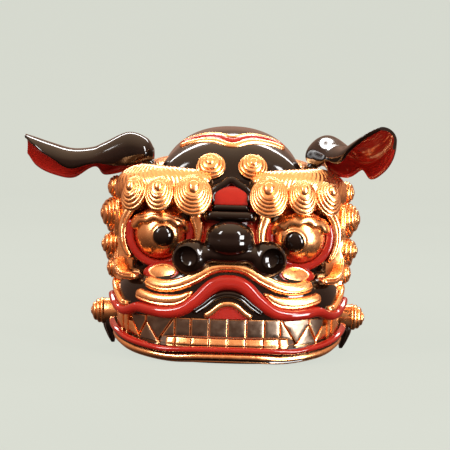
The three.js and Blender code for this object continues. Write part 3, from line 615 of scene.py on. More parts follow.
STRIPE_UPPER = ((0, 109), (6, 106), (13, 96), (22, 88), (32, 86), (44, 90))
STRIPE_SIDE = ((13, 82), (19, 73), (26, 70), (36, 71), (49, 76))
CHEEK_FOLDS = (((82, 108), (75, 99), (64, 93.5), (50, 94)), ((88, 82.5), (74, 72), (63, 62), (56, 62)))
UPPER_LIP = (
    (0, 93), (5, 88), (11, 73), (18, 61), (26, 57), (36, 58), (46, 60),
    (56, 54.5), (64, 54.5), (73, 60), (86, 69),
)
LIP_LINE = ((0, 80), (4, 76), (8, 67), (13, 58))
LIP_ARCH = ((0, 69), (2.4, 66), (5, 59), (8, 54))
LIP_FIELD = Sizes(turn=6.6, low=52.3, top=67, lift=3)
Fold = namedtuple("Fold", "node rows half_width height grooves middle ends finish")
MIDDLE_FOLDS = (
    Fold("upper_lip", UPPER_LIP, 6.4, 9, (), 1.35, 0.6, RED),
    Fold("muzzle_stripe_upper", STRIPE_UPPER, 7.4, 7, ((0.45, 0.09, 1.3), (-0.5, 0.1, 0.5)), 0.78, 1, GOLD),
    Fold("lip_line", LIP_LINE, 4.4, 6, ((0.2, 0.14, 0.9),), 1, 1, BLACK),
    Fold("lip_arch", LIP_ARCH, 4.0, 6, (), 1, 1, GOLD),
)
SIDE_STRIPE = Sizes(half_width=7.0, height=6.5, groove=0.45)
CHEEK_FOLD = Sizes(half_width=4.2, height=5, sunk=8, groove=0.3)


def stripe_taper(share):
    return 0.25 + 0.75 * np.sin(np.pi / 2 * np.clip(share * 2.6, 0, 1))


def build_muzzle_folds():
    for fold in MIDDLE_FOLDS:
        def width(share, fold=fold):
            side = np.abs(2 * share - 1)
            return 1 + (fold.middle - 1) * bell(side, 0.35) + (fold.ends - 1) * bell(1 - side, 0.3)

        section = ridge(fold.half_width, fold.height, 2, fold.grooves)
        carve_fold(fold.node, "head", muzzle, mirrored(fold.rows), 220, section, fold.finish, width)
    for name, sign in SIDES:
        rows = np.array(STRIPE_SIDE) * (sign, 1)
        grooves = ((sign * SIDE_STRIPE.groove, 0.1, 1.2),)
        section = ridge(SIDE_STRIPE.half_width, SIDE_STRIPE.height, 2, grooves)
        carve_fold(f"muzzle_stripe_{name}", "head", muzzle, rows, 90, section, GOLD, stripe_taper)
        grooves = ((sign * CHEEK_FOLD.groove, 0.12, 1.0),)
        section = ridge(CHEEK_FOLD.half_width, CHEEK_FOLD.height, CHEEK_FOLD.sunk, grooves)
        for i, half in enumerate(CHEEK_FOLDS, 1):
            rows = np.array(half) * (sign, 1)
            carve_fold(f"cheek_fold_{name}_{i}", "head", cheek, rows, 70, section, GOLD)
    build_lip_field()


def build_lip_field():
    """The red field under the arch of the lip."""
    field = LIP_FIELD
    turn = np.linspace(-1, 1, 41)[None, :]
    share = np.linspace(0, 1, 24)[:, None]
    top = field.top - (field.top - field.low - 1) * np.abs(turn) ** 1.2
    z = field.low + share * (top - field.low)
    turn = np.broadcast_to(turn * field.turn, z.shape)
    surface, normals = muzzle(turn, z), normals_of(muzzle, turn, z)
    form = Form()
    closed_wall(form, surface + field.lift * normals, surface - 2 * normals)
    carved("lip_field", "head", form, RED)


Lobe = namedtuple("Lobe", "centre radii")
NOSE_BULB = (
    Lobe((0, -151, 146), (27, 23, 16)),
    Lobe((0, -151, 138), (28, 24, 18)),
    Lobe((0, -149, 132), (29, 21, 15)),
    Lobe((0, -149, 123.5), (45, 18, 11)),
)
NOSE_ARCH = Sizes(half_width=44, y=-147, z=119, rise=10, radii=(14, 18, 12.5), lobes=15)
WING = Sizes(x=43, y=-149, z=119, radii=(22.5, 19, 21.5), nostril_radius=12.5, nostril_depth=2)


def oval(form, centre, radii):
    angle = full_turn(48)[None, :]
    fall = np.linspace(0, np.pi, 30)[:, None]
    ring = np.sin(fall)
    sphere = np.stack([ring * np.cos(angle), ring * np.sin(angle), np.cos(fall) + 0 * angle], -1)
    form.grid(np.asarray(centre) + sphere * radii, around=True)


def build_nose():
    form = Form()
    for lobe in NOSE_BULB:
        oval(form, lobe.centre, lobe.radii)
    for share in np.linspace(-1, 1, NOSE_ARCH.lobes):
        z = NOSE_ARCH.z + NOSE_ARCH.rise * (1 - share**2) ** 2
        oval(form, (NOSE_ARCH.half_width * share, NOSE_ARCH.y, z), NOSE_ARCH.radii)
    for _, sign in SIDES:
        oval(form, place_of(WING, sign), WING.radii)
    nose = loose_object("carved_nose", form)
    fuse(nose, 1.2, 9)
    for _, sign in SIDES:
        hole = Form()
        outward = unit((sign * 0.35, -0.9, 0.05))
        radius = WING.nostril_radius
        floor = WING.nostril_depth
        profile = [(0, floor), (0.6 * radius, floor + 0.6), (0.9 * radius, floor + 3), (radius, floor + 8)]
        profile += [(radius * 1.25, floor + CUT_OVER), (0, floor + CUT_OVER)]
        lathe(hole, place_of(WING, sign), outward, profile)
        cut(nose, loose_object("nostril", hole))
    finish_piece(nose, "head", [BLACK], ["nose"], sharp_deg=50)


# Middle of the brow

BridgeRow = namedtuple("BridgeRow", "z half_width front")
BRIDGE_ROWS = (
    BridgeRow(128, 36, -146),
    BridgeRow(158, 31, -138),
    BridgeRow(180, 25, -128),
    BridgeRow(204, 22, -120),
)
BRIDGE = Sizes(back=-104, power=0.7, hollow=0.004, inlay=8)


def bridge_face(rows):
    """Points and normals on the front of the bridge for (x, z) rows."""
    rows = np.asarray(rows, float)
    table = np.array(BRIDGE_ROWS, float)
    y = np.interp(rows[:, 1], table[:, 0], table[:, 2]) + BRIDGE.hollow * rows[:, 0] ** 2
    points = np.stack([rows[:, 0], y, rows[:, 1]], -1)
    return points, np.broadcast_to(unit((0, -1, 0.3)), points.shape)


def level_path(z, half_length, count=60):
    x = -half_length * np.cos(np.linspace(0, np.pi, count))
    return np.stack([x, np.full(count, float(z))], -1)


GABLE = ((0, 205), (9, 200), (18, 194), (21.5, 188), (21, 178))
PANEL = Sizes(z=187.5, half_width=18.5, half_height=12, height=5)
BridgeBar = namedtuple("BridgeBar", "z half_length half_width height")
BRIDGE_BARS = (BridgeBar(174, 22, 4.2, 8), BridgeBar(164.5, 30, 6.4, 12))
BRIDGE_TOP = 197


def build_bridge():
    rows = smooth(BRIDGE_ROWS, 40)
    rows[:, 0] = np.minimum(rows[:, 0], BRIDGE_TOP)
    angle = np.radians(np.linspace(-90, 90, 61))[None, :]
    x = rows[:, 1:2] * np.sin(angle)
    y = BRIDGE.back + (rows[:, 2:3] - BRIDGE.back) * np.cos(angle).clip(0) ** BRIDGE.power
    form = Form()
    form.grid(np.stack([x, y, np.broadcast_to(rows[:, :1], x.shape)], -1), around=True, capped=(True, True))
    carved("bridge", "head", form, RED)
    form = Form()
    sweep(form, *bridge_face(smooth(mirrored(GABLE), 90)), ridge(5, 7, BRIDGE.inlay))
    carved("forehead_frame", "head", form, BLACK)
    form = Form()
    section = ridge(PANEL.half_height, PANEL.height, BRIDGE.inlay, power=3)
    sweep(form, *bridge_face(level_path(PANEL.z, PANEL.half_width)), section, rounded=(False, False))
    carved("forehead_panel", "head", form, RED)
    form = Form()
    for bar in BRIDGE_BARS:
        section = ridge(bar.half_width, bar.height, BRIDGE.inlay)
        sweep(form, *bridge_face(level_path(bar.z, bar.half_length)), section)
    carved("bridge_ridge", "head", form, BLACK)


# Brows and their curls

BrowRow = namedtuple("BrowRow", "x y z half_height half_depth crest")
BROW_ROWS = (
    BrowRow(20, -112, 199, 17, 17, 0),
    BrowRow(44, -112, 195, 22, 24, 0),
    BrowRow(80, -106, 195, 22, 26, 3),
    BrowRow(108, -92, 193, 22, 26, 5),
    BrowRow(119, -68, 190, 21, 20, 2),
    BrowRow(121, -36, 187, 16, 14, 0),
)
BROW_FRONT = 0.8
BROW_CREST_DEG = (50, 180)  # from the front of the roll over its top
STRAND = Sizes(width=3.6, height=0.9)
BrowCurl = namedtuple("BrowCurl", "x y z outward half_width half_length height whorls")
BROW_CURLS = (
    BrowCurl(110, -118, 188, 0.45, 16.5, 22, 18, 4),
    BrowCurl(81, -133, 189, 0.12, 16.5, 22, 18, 4),
    BrowCurl(43, -137, 189, -0.05, 22, 26, 19, 5),
)
FOREHEAD_CURL = Sizes(x=24, y=-106, z=220, size=(17, 17, 14), whorls=3)
HAIR_CAP = Sizes(
    first_deg=18, last_deg=79, front=-104, rear=66, thickness=2.2, locks=5, shortest=0.35, low_length=0.55
)
LID = Sizes(
    radius=32, half_width=8.5, height=6, sunk=5, side_deg=82, low_deg=10, rise_deg=30,
    folds=5, fold_depth=0.14,
)


def strands(run, wave):
    """Height of the hair at a place across its strands."""
    return STRAND.height * (np.abs(np.sin(np.pi * (run / STRAND.width + wave))) ** 0.7 - 0.6)


def build_brow(name, sign):
    rows = smooth(BROW_ROWS, 260)
    along = unit(np.gradient(rows[:, :2], axis=0))
    run = run_along(rows[:, :2])
    angle = full_turn(72)[None, :]
    swell = strands(run[:, None], 2.2 * np.sin(1.2 * angle + run[:, None] / 26))
    ends = np.sqrt(np.clip(run / 8, 0, 1) * np.clip((run[-1] - run) / 8, 0, 1))[:, None]
    flatter = np.where(np.cos(angle) > 0, BROW_FRONT, 1)
    depth = (rows[:, 4:5] * flatter + swell) * np.cos(angle) * ends
    crest = np.sin(np.pi * np.interp(np.degrees(angle), BROW_CREST_DEG, (0, 1))) ** 2
    height = ((rows[:, 3:4] + swell) * np.sin(angle) + rows[:, 5:6] * crest) * ends
    x = sign * (rows[:, 0:1] + along[:, 1:2] * depth)
    y = rows[:, 1:2] - along[:, 0:1] * depth
    form = Form()
    form.grid(np.stack([x, y, rows[:, 2:3] + height], -1), around=True, capped=(True, True))
    add_hair_cap(form, sign)
    section = ridge(LID.half_width, LID.height, LID.sunk, ((-0.3, 0.12, 0.7),))
    sweep(form, *lid_path(sign), section, width=lid_width)
    carved(f"brow_{name}", "head", form, GOLD)


def lid_width(share):
    return 1 + LID.fold_depth * np.sin(2 * np.pi * LID.folds * share)


def lid_path(sign, count=140):
    """Points and normals of the heavy upper lid, which lies over the eyeball from side to side."""
    axis, outer, up = eye_axes(sign)
    share = -np.cos(np.pi * np.linspace(0, 1, count))[:, None]
    turn = np.radians(LID.side_deg) * share
    lift = np.radians(LID.low_deg + LID.rise_deg * (1 - share**2))
    normals = np.cos(lift) * (np.sin(turn) * outer + np.cos(turn) * axis) + np.sin(lift) * up
    return eye_centre(sign) + LID.radius * normals, normals


def add_hair_cap(form, sign):
    """Hair that runs back from the brow over the shoulder of the head, beside the crown."""
    angle = np.radians(np.linspace(HAIR_CAP.first_deg, HAIR_CAP.last_deg, 90))
    if sign > 0:
        angle = np.pi - angle
    outer, inner = (shell_grid(inset, SHELL.rear, angle) for inset in (-HAIR_CAP.thickness, 1))
    rows = np.flatnonzero((outer[:, 0, 1] > HAIR_CAP.front) & (outer[:, 0, 1] < HAIR_CAP.rear))
    outer, inner = outer[rows], inner[rows]
    share = np.linspace(0, 1, len(angle))
    lock = np.abs(np.sin(np.pi * HAIR_CAP.locks * share))
    length = HAIR_CAP.shortest + (1 - HAIR_CAP.shortest) * lock
    length = length * (HAIR_CAP.low_length + (1 - HAIR_CAP.low_length) * share)
    for skin in (outer, inner):
        behind = np.maximum(skin[..., 1] - SHELL.centre, 0)
        skin[..., 1] -= behind * (1 - length)
    run = np.linalg.norm(np.gradient(outer, axis=1), axis=-1).cumsum(axis=1)
    wave = 0.8 * np.sin(outer[..., 1] / 12)
    outer = outer + strands(run, wave)[..., None] * unit(outer - inner)
    closed_wall(form, outer, inner)


def build_brow_curls(name, sign):
    for i, row in enumerate(BROW_CURLS, 1):
        form = Form()
        foot = place_of(row, sign)
        axis = (sign * row.outward, -0.84, 0.5)
        size = (row.half_width, row.half_length, row.height)
        curl(form, foot, axis, size, row.whorls, lean=4, sunk=16, turn=sign)
        carved(f"brow_curl_{name}_{i}", "head", form, GOLD)
    form = Form()
    rosette = FOREHEAD_CURL
    foot = place_of(rosette, sign)
    curl(form, foot, (sign * 0.1, -0.8, 0.6), rosette.size, rosette.whorls, dome=0.5, turn=-sign)
    tail = smooth([(27, -118, 212), (31, -123, 206), (33, -127, 199)], 40, ends_dense=True) * (sign, 1, 1)
    normals = np.broadcast_to(unit((sign * 0.2, -0.9, 0.4)), tail.shape)
    sweep(form, tail, normals, ridge(8, 6, 8, ((-0.3, 0.14, 0.9), (0.3, 0.14, 0.9))))
    carved(f"forehead_curl_{name}", "head", form, GOLD)


# Eyes

def eye_centre(sign):
    return place_of(EYE, sign)


def eye_axes(sign):
    """The directions forward, outward and up of an eye."""
    axis = unit((sign * 0.12, -1, 0.05))
    outer = sign * unit(np.cross((0, 0, 1), axis))
    up = unit(np.array((0, 0, 1)) - axis[2] * axis)
    return axis, outer, up


def eye_arc(sign, radius, forward, from_deg, to_deg, count):
    """Points and normals round an eye, from 0 degrees on the outer side through 90 on top."""
    axis, outer, up = eye_axes(sign)
    centre = eye_centre(sign) + forward * axis
    share = 0.5 - 0.5 * np.cos(np.pi * np.linspace(0, 1, count))
    angle = np.radians(from_deg + (to_deg - from_deg) * share)[:, None]
    points = centre + radius * (np.cos(angle) * outer + np.sin(angle) * up)
    return points, np.broadcast_to(axis, points.shape)


EyeRing = namedtuple(
    "EyeRing",
    "piece radius half_width height forward from_deg to_deg power first_width last_width grooves finish",
)
EYE_RINGS = (
    EyeRing("eye_rim", 34.8, 4.6, 3.6, 9, -205, 25, 2.4, 1, 1, (), RED),
    EyeRing("eyelid", 43.8, 5.6, 5.5, 6, -42, 48, 4, 0.5, 1.15, ((0.1, 0.12, 0.9),), GOLD),
    EyeRing("tear_fold", 46, 7.6, 6, 14, 146, 208, 2.4, 1.1, 0.45, ((0.25, 0.12, 0.9),), GOLD),
)
EYE_SOCKET = 26
EYE_LOOK = dict(left=(0.12, -1, -0.02), right=(-0.2, -1, -0.12))


def build_eye(name, sign):
    centre = eye_centre(sign)
    look = unit(EYE_LOOK[name])
    radius = EYE.radius
    fall = np.linspace(0, np.radians(150), 70)
    groove = 0.7 * bell(np.degrees(fall) - 25, 2.0)
    profile = np.stack([(radius - groove) * np.sin(fall), (radius - groove) * np.cos(fall)], -1)
    profile = np.vstack([profile, [(0, profile[-1, 1])]])
    form = Form()
    lathe(form, centre, look, profile, 96)
    carved(f"eye_{name}", "head", form, GOLD)
    fall = np.linspace(0, np.pi, 40)
    depth = np.where(fall < np.pi / 2, EYE.pupil_front, EYE.pupil_back)
    profile = np.stack([EYE.pupil_radius * np.sin(fall), radius - 1.5 + depth * np.cos(fall)], -1)
    form = Form()
    lathe(form, centre, look, profile, 64)
    carved(f"pupil_{name}", "head", form, BLACK)
    for ring in EYE_RINGS:
        form = Form()
        arc = eye_arc(sign, ring.radius, ring.forward, ring.from_deg, ring.to_deg, 110)
        section = ridge(ring.half_width, ring.height, EYE_SOCKET, ring.grooves, ring.power)

        def width(share, ring=ring):
            return ring.first_width + (ring.last_width - ring.first_width) * share

        sweep(form, *arc, section, width=width)
        carved(f"{ring.piece}_{name}", "head", form, ring.finish)


CHEEK_PAD = Sizes(x=71, y=-130, z=97, half_width=27, half_height=15, depth=12, point=0.12, field=0.62)


def build_cheek_pad(name, sign):
    """A red leaf with a sunk field of gold, beside the nostril."""
    pad = CHEEK_PAD
    form = Form()
    share = np.linspace(0, 1, 60)[:, None]
    angle = full_turn(96)[None, :]
    out = unit((sign * 0.45, -0.75, 0.5))
    side = unit(np.cross((0, 0, 1), out)) * sign
    up = np.cross(out, side) * sign
    radius = np.sin(np.pi / 2 * (1 - share))
    dome = pad.depth * np.cos(np.pi / 2 * (1 - share)) ** 0.8
    field = 1 / (1 + np.exp((radius - pad.field) / 0.02))
    dome = dome - 1.6 * field
    leaf = 1 + pad.point * np.maximum(np.cos(angle), 0) ** 6
    flat = np.cos(angle)[..., None] * side * pad.half_width * leaf[..., None]
    flat = flat + np.sin(angle)[..., None] * up * pad.half_height
    centre = place_of(pad, sign)
    skin = centre + radius[..., None] * flat + dome[..., None] * out
    finish = np.broadcast_to((radius[:-1] < pad.field).astype(int), (len(share) - 1, angle.shape[1]))
    base = centre + flat - 8 * out
    form.grid(skin, finish, around=True)
    form.grid(np.concatenate([base, skin[:1]]), 0, around=True, capped=(True, False))
    carved(f"cheek_pad_{name}", "head", form, RED, GOLD)


# Teeth

ARC_TURNS = np.linspace(0, 80, 400)
ARC_X, ARC_Y = plan(ARC_TURNS, TEETH.half_width, TEETH.back, TEETH.front)
ARC_RUN = run_along(np.stack([ARC_X, ARC_Y], -1))


def on_teeth(lean, forward=0):
    """Sets (run along the arch, height, out) rows of a tooth in space. `lean` tips its top edge inward."""
    def place(rows):
        run, z, out = rows.T
        turn = np.interp(np.abs(run), ARC_RUN, ARC_TURNS)
        x, y = (np.interp(np.abs(run), ARC_RUN, line) for line in (ARC_X, ARC_Y))
        before, after = (
            plan(turn + step, TEETH.half_width, TEETH.back, TEETH.front) for step in (-0.2, 0.2)
        )
        tangent = unit(np.stack([after[0] - before[0], after[1] - before[1]], -1))
        out = out + forward - lean * (z - JAW.rim)
        x = x + tangent[:, 1] * out
        y = y - tangent[:, 0] * out
        return np.stack([np.sign(run) * np.abs(x), y, z], -1)
    return place


def run_at(turn):
    return float(np.interp(turn, ARC_TURNS, ARC_RUN))


INCISOR_EDGES = (0, 21, 41.5, 60)
TOOTH_GAP = 0.9
BITE = Sizes(
    level=30.5, canine_turn=33, canine=24.5, notch_turn=42, notch=45,
    fang_turn=48, fang=28.5, end_turn=55, end=44, corner_turn=79,
)


def bite_runs():
    return [run_at(turn) for turn in (BITE.canine_turn, BITE.notch_turn, BITE.fang_turn, BITE.end_turn)]


def tooth(form, outline, sign, place, bevel, face=0):
    plate(form, np.array(outline) * (sign, 1), place, TEETH.thickness, bevel, face=face)


def build_upper_teeth():
    form = Form()
    top = TEETH.top
    gap = TOOTH_GAP / 2
    place = on_teeth(0)
    canine, notch, fang, end = bite_runs()
    for _, sign in SIDES:
        outlines = [
            [(a + gap, BITE.level), (b - gap, BITE.level), (b - gap, top), (a + gap, top)]
            for a, b in zip(INCISOR_EDGES, INCISOR_EDGES[1:])
        ]
        edge = INCISOR_EDGES[-1]
        outlines.append([(edge + gap, BITE.level), (canine - 4, BITE.canine + 3.5), (edge + gap, top)])
        outlines.append(
            [(canine, BITE.canine), (notch - gap, BITE.notch), (notch - gap, top), (edge + 1.6, top)]
        )
        outlines.append(
            [(fang, BITE.fang), (end, BITE.end), (end, top), (notch + gap, top), (notch + gap, BITE.notch)]
        )
        # The flat fronts of the upper teeth take the leaf with painted shade; their bevelled edges stay
        # bright gold.
        for outline in outlines:
            tooth(form, outline, sign, place, 1.1, face=1)
    carved("upper_teeth", "head", form, GOLD, SHADED_LEAF, sharp_deg=25)


def build_lower_teeth():
    form = Form()
    gap = TOOTH_GAP / 2
    drop = TEETH.bite_gap
    low = JAW.rim + 1.0
    back_top, corner_top = 42, 48
    canine, notch, fang, end = bite_runs()
    for _, sign in SIDES:
        edges = (*INCISOR_EDGES, canine - 9)
        for a, b in zip(edges, edges[1:]):
            top = BITE.level - drop
            outline = [(a + gap, low), (b - gap, low), (b - gap, top), (a + gap, top)]
            tooth(form, outline, sign, on_teeth(0.35), 1.2)
        points = [(canine - 8, low), (fang - 1, low + 2), (fang - 1, BITE.fang - drop)]
        points += [(notch, BITE.notch - drop), (canine, BITE.canine - drop)]
        # This tooth's flat front takes the leaf with painted shade.
        tooth(form, points, sign, on_teeth(0.06), 1.1, face=1)
        points = [(fang, low + 2), (end + 8, low + 6), (end + 8, back_top)]
        points += [(end, back_top), (fang, BITE.fang - drop)]
        tooth(form, points, sign, on_teeth(0), 1.1)
        corners = (end + 9, end + 16, end + 19, run_at(BITE.corner_turn))
        for a, b, face, out in zip(corners, corners[1:], (0, 2, 0), (2, 0, 3)):
            points = [(a + gap, low + 4), (b - gap, low + 4), (b - gap, corner_top), (a + gap, corner_top)]
            tooth(form, points, sign, on_teeth(0, out), 1.2, face=face)
    carved("lower_teeth", "jaw", form, GOLD, SHADED_LEAF, RED, sharp_deg=25)


# Jaw

JawLevel = namedtuple("JawLevel", "z half_width front")
JAW_LEVELS = (JawLevel(0, 94, -151), JawLevel(6, 117, -161), JawLevel(13, 131, -166), JawLevel(20, 135, -167))


def jaw(turn, z):
    turn, z = paired(turn, z)
    rise = JAW.side_rise * np.sin(np.radians(turn)) ** 4
    level = np.maximum(z - rise * z / JAW.rim, 0)
    table = smooth(JAW_LEVELS, 60)
    half_width = np.interp(level, table[:, 0], table[:, 1])
    front = np.interp(level, table[:, 0], table[:, 2])
    x, y = plan(turn, half_width, JAW.back, front)
    return np.stack([x, y, z], -1)


def jaw_rings(levels, inset, rear):
    turn = np.linspace(-90, 90, 121)[None, :]
    z, half_width, front = (np.asarray(column)[:, None] for column in zip(*levels))
    x, y = plan(turn, half_width - inset, JAW.back, front + inset)
    lift = 1 + JAW.side_rise * np.sin(np.radians(turn)) ** 4 / JAW.rim
    front_part = np.stack([x, y, z * lift], -1)
    rear_half = np.minimum(half_width, JAW.rear_half_width) - inset
    rear_z = z * (1 + JAW.side_rise / JAW.rim)
    ends = [np.stack([side * rear_half, np.full_like(rear_half, rear), rear_z], -1) for side in (-1, 1)]
    return np.concatenate([ends[0], front_part, ends[1]], axis=1)


def arm_outline():
    """The hinge arm in Y and Z, round at its top."""
    angle = np.linspace(0, np.pi, 24)
    turned = np.stack([np.cos(angle), np.sin(angle)], -1)
    round_end = np.array((HINGE.y, HINGE.z)) + HINGE.arm_radius * turned
    return np.vstack([[(40, 3), (JAW.rear - 2, 3)], round_end, [(40, 26)]])


def build_jaw():
    form = Form()
    form.grid(jaw_rings(smooth(JAW_LEVELS, 30), 0, JAW.rear), around=True, capped=(True, True))
    tray = loose_object("carved_jaw_tray", form)
    levels = [level._replace(z=level.z + 1) for level in JAW_LEVELS[1:]]
    levels[0] = levels[0]._replace(z=JAW.floor)
    levels[-1] = levels[-1]._replace(z=levels[-1].z + CUT_OVER)
    form = Form()
    form.grid(jaw_rings(levels, JAW.wall, JAW.rear + CUT_OVER), around=True, capped=(True, True))
    cut(tray, loose_object("jaw_hollow", form))
    arms = Form()
    for _, sign in SIDES:
        half = HINGE.arm_thickness / 2
        for face in (-1, 1):
            def place(rows, face=face):
                x = sign * HINGE.x + face * (half + rows[:, 2])
                return np.stack([x, rows[:, 0], rows[:, 1]], -1)
            plate(arms, arm_outline(), place, half, 1.0, steps=2)
    arm = loose_object("arms", arms)
    join(tray, arm)
    finish_piece(tray, "jaw", [BLACK], ["jaw_tray"])
    for name, sign in SIDES:
        form = Form()
        radius = HINGE.peg_radius
        ends = (HINGE.x - HINGE.arm_thickness / 2 - 2, SHELL.half_width + 4)
        profile = [(0, ends[0]), (radius - 1, ends[0]), (radius, ends[0] + 1)]
        profile += [(radius, ends[1] - 1.5), (radius - 1.5, ends[1]), (0, ends[1])]
        lathe(form, np.array((0, HINGE.y, HINGE.z)), (sign, 0, 0), profile, 40)
        carved(f"hinge_peg_{name}", "jaw", form, WOOD)


def join(piece, other):
    work = bmesh.new()
    work.from_mesh(piece.data)
    work.from_mesh(other.data)
    work.to_mesh(piece.data)
    work.free()
    bpy.data.objects.remove(other)


JAW_GUM = Sizes(level=18, half_width=3.0, height=4.6)
JAW_LIP = Sizes(level=8.6, half_width=5.8, height=5.2, groove=3.4, black_share=0.32)
JAW_PATH = Sizes(corner_rise=9, dip=2.0, dip_turn=27, dip_width=13)


def along_jaw(height):
    """A path round the jaw that dips beside the chin and rises at the corners of the mouth."""
    turn = np.linspace(-88, 88, 61)
    side = np.sin(np.radians(turn))
    z = height * (1 + JAW.side_rise * side**4 / JAW.rim) + JAW_PATH.corner_rise * side**8
    z = z - JAW_PATH.dip * bell(np.abs(turn) - JAW_PATH.dip_turn, JAW_PATH.dip_width)
    return np.stack([turn, z], -1)


def build_jaw_lips():
    gum_path = along_jaw(JAW_GUM.level)
    carve_fold("jaw_gum", "jaw", jaw, gum_path, 240, ridge(JAW_GUM.half_width, JAW_GUM.height, 2), RED)
    form = Form()
    section = ridge(JAW_LIP.half_width, JAW_LIP.height, 1.2, ((0.0, 0.26, JAW_LIP.groove),), count=48)
    side = section[:, 0] / JAW_LIP.half_width
    black = np.abs(0.5 * (side + np.roll(side, -1))) < JAW_LIP.black_share
    sweep(form, *on_surface(jaw, along_jaw(JAW_LIP.level), 240), section, finish=black.astype(int))
    carved("jaw_lip", "jaw", form, GOLD, BLACK)


TUFT = Sizes(x=146, y=-22, z=40, radius=15, height=17, sunk=18)
TUFT_TIP = ((44, 138, 7, 9), (26, 140, 8, 13), (12, 138, 5.2, 9.8), (2.5, 136, 2, 3.8))


def build_tuft(name, sign):
    """A barrel whose end is wound like a snail, with a dark tip that hangs below it."""
    form = Form()
    foot = place_of(TUFT, sign)
    size = (TUFT.radius, TUFT.radius, TUFT.height)
    curl(form, foot, (sign, 0, 0), size, 3, dome=1, sunk=TUFT.sunk, turn=sign, base=0.95)
    rows = smooth(TUFT_TIP, 60)
    angle = full_turn(48)[None, :]
    strand = 1 + 0.06 * np.cos(9 * angle)
    tip = np.stack(
        [
            sign * rows[:, 1:2] + rows[:, 2:3] * np.cos(angle) * strand,
            TUFT.y + rows[:, 3:4] * np.sin(angle) * strand,
            np.broadcast_to(rows[:, :1], (len(rows), angle.shape[1])),
        ],
        -1,
    )
    form.grid(tip, 1, around=True, capped=(True, True))
    carved(f"jaw_tuft_{name}", "jaw", form, GOLD, BLACK)


# Mane

ManeCurl = namedtuple("ManeCurl", "y z radius height whorls")
MANE_CURLS = (
    ManeCurl(-58, 160, 19, 19, 4),
    ManeCurl(-62, 124, 14, 17, 3),
    ManeCurl(-60, 96, 12, 10, 3),
    ManeCurl(-46, 190, 13, 12, 3),
    ManeCurl(-20, 148, 18, 15, 4),
    ManeCurl(-24, 112, 17, 14, 4),
)
MANE_BED = Sizes(inner=112, outer=133)
MANE_OUTLINE = ((-78, 84), (-6, 84), (2, 108), (4, 130), (4, 152), (0, 176), (-40, 204), (-74, 178))
MANE_STRAND = Sizes(x=130, y=-72, low=86, high=178)
MANE_LOCKS = (-64, -52, -40, -28, -16, -6)
MANE_LOCK = Sizes(half_width=6.5, height=3, sunk=2, wave=4, wave_length=11)
MANE_LOOK = -0.25  # how far the curls turn to the front


def build_mane(name, sign):
    form = Form()

    def place(rows):
        return np.stack([sign * (MANE_BED.outer + rows[:, 2]), rows[:, 0], rows[:, 1]], -1)

    plate(form, MANE_OUTLINE, place, MANE_BED.outer - MANE_BED.inner, 5)
    for i, row in enumerate(MANE_CURLS):
        foot = np.array((sign * MANE_BED.outer, row.y, row.z))
        spin = 1 if i % 2 else -1
        size = (row.radius, row.radius, row.height)
        curl(form, foot, (sign, MANE_LOOK, 0), size, row.whorls, dome=1, turn=spin)
    z = np.linspace(MANE_STRAND.low, MANE_STRAND.high, 90)
    for i, y in enumerate(MANE_LOCKS):
        wave = MANE_LOCK.wave * np.sin(z / MANE_LOCK.wave_length + i)
        line = np.stack([np.full_like(z, sign * MANE_BED.outer), y + wave, z], -1)
        normals = np.broadcast_to(np.array((sign, 0.0, 0.0)), line.shape)
        grooves = ((-0.4, 0.15, 0.9), (0.3, 0.15, 0.9))
        sweep(form, line, normals, ridge(MANE_LOCK.half_width, MANE_LOCK.height, MANE_LOCK.sunk, grooves))
    line = np.stack([np.full_like(z, sign * MANE_STRAND.x), MANE_STRAND.y + 2.2 * np.sin(z / 9), z], -1)
    normals = np.broadcast_to(unit((sign * 0.5, -0.9, 0)), line.shape)
    sweep(form, line, normals, ridge(4.2, 4.5, 6, ((0, 0.2, 1.0),)))
    carved(f"mane_{name}", "head", form, GOLD)


# Ears

EarRow = namedtuple("EarRow", "along lift half_width height drop wall near far")
EAR_ROWS = (
    EarRow(-17, -3, 9, 9, 6, 5, 130, 130),
    EarRow(-8, 0, 18, 18, 13, 12, 134, 134),
    EarRow(14, 1, 21, 23, 25, 14, 124, 148),
    EarRow(42, -7, 23, 18, 25, 5, 102, 144),
    EarRow(56, -12, 25, 17, 20, 5, 95, 106),
    EarRow(80, -14, 26, 17, 32, 5, 98, 122),
    EarRow(105, -9, 26, 18, 32, 5, 78, 127),
    EarRow(125, -2, 23, 17, 29, 5, 50, 125),
    EarRow(136, 4, 17, 14, 22, 4, 20, 112),
)
EarSeat = namedtuple("EarSeat", "name sign root roll lift swing")
EAR_SEATS = (
    EarSeat("left", -1, (-109, -38, 230), 2, 0, -5),
    EarSeat("right", 1, (106, -38, 231), 9, 10, 62),
)
EAR_PEG = Sizes(radius=6, length=25, reach=7.5)


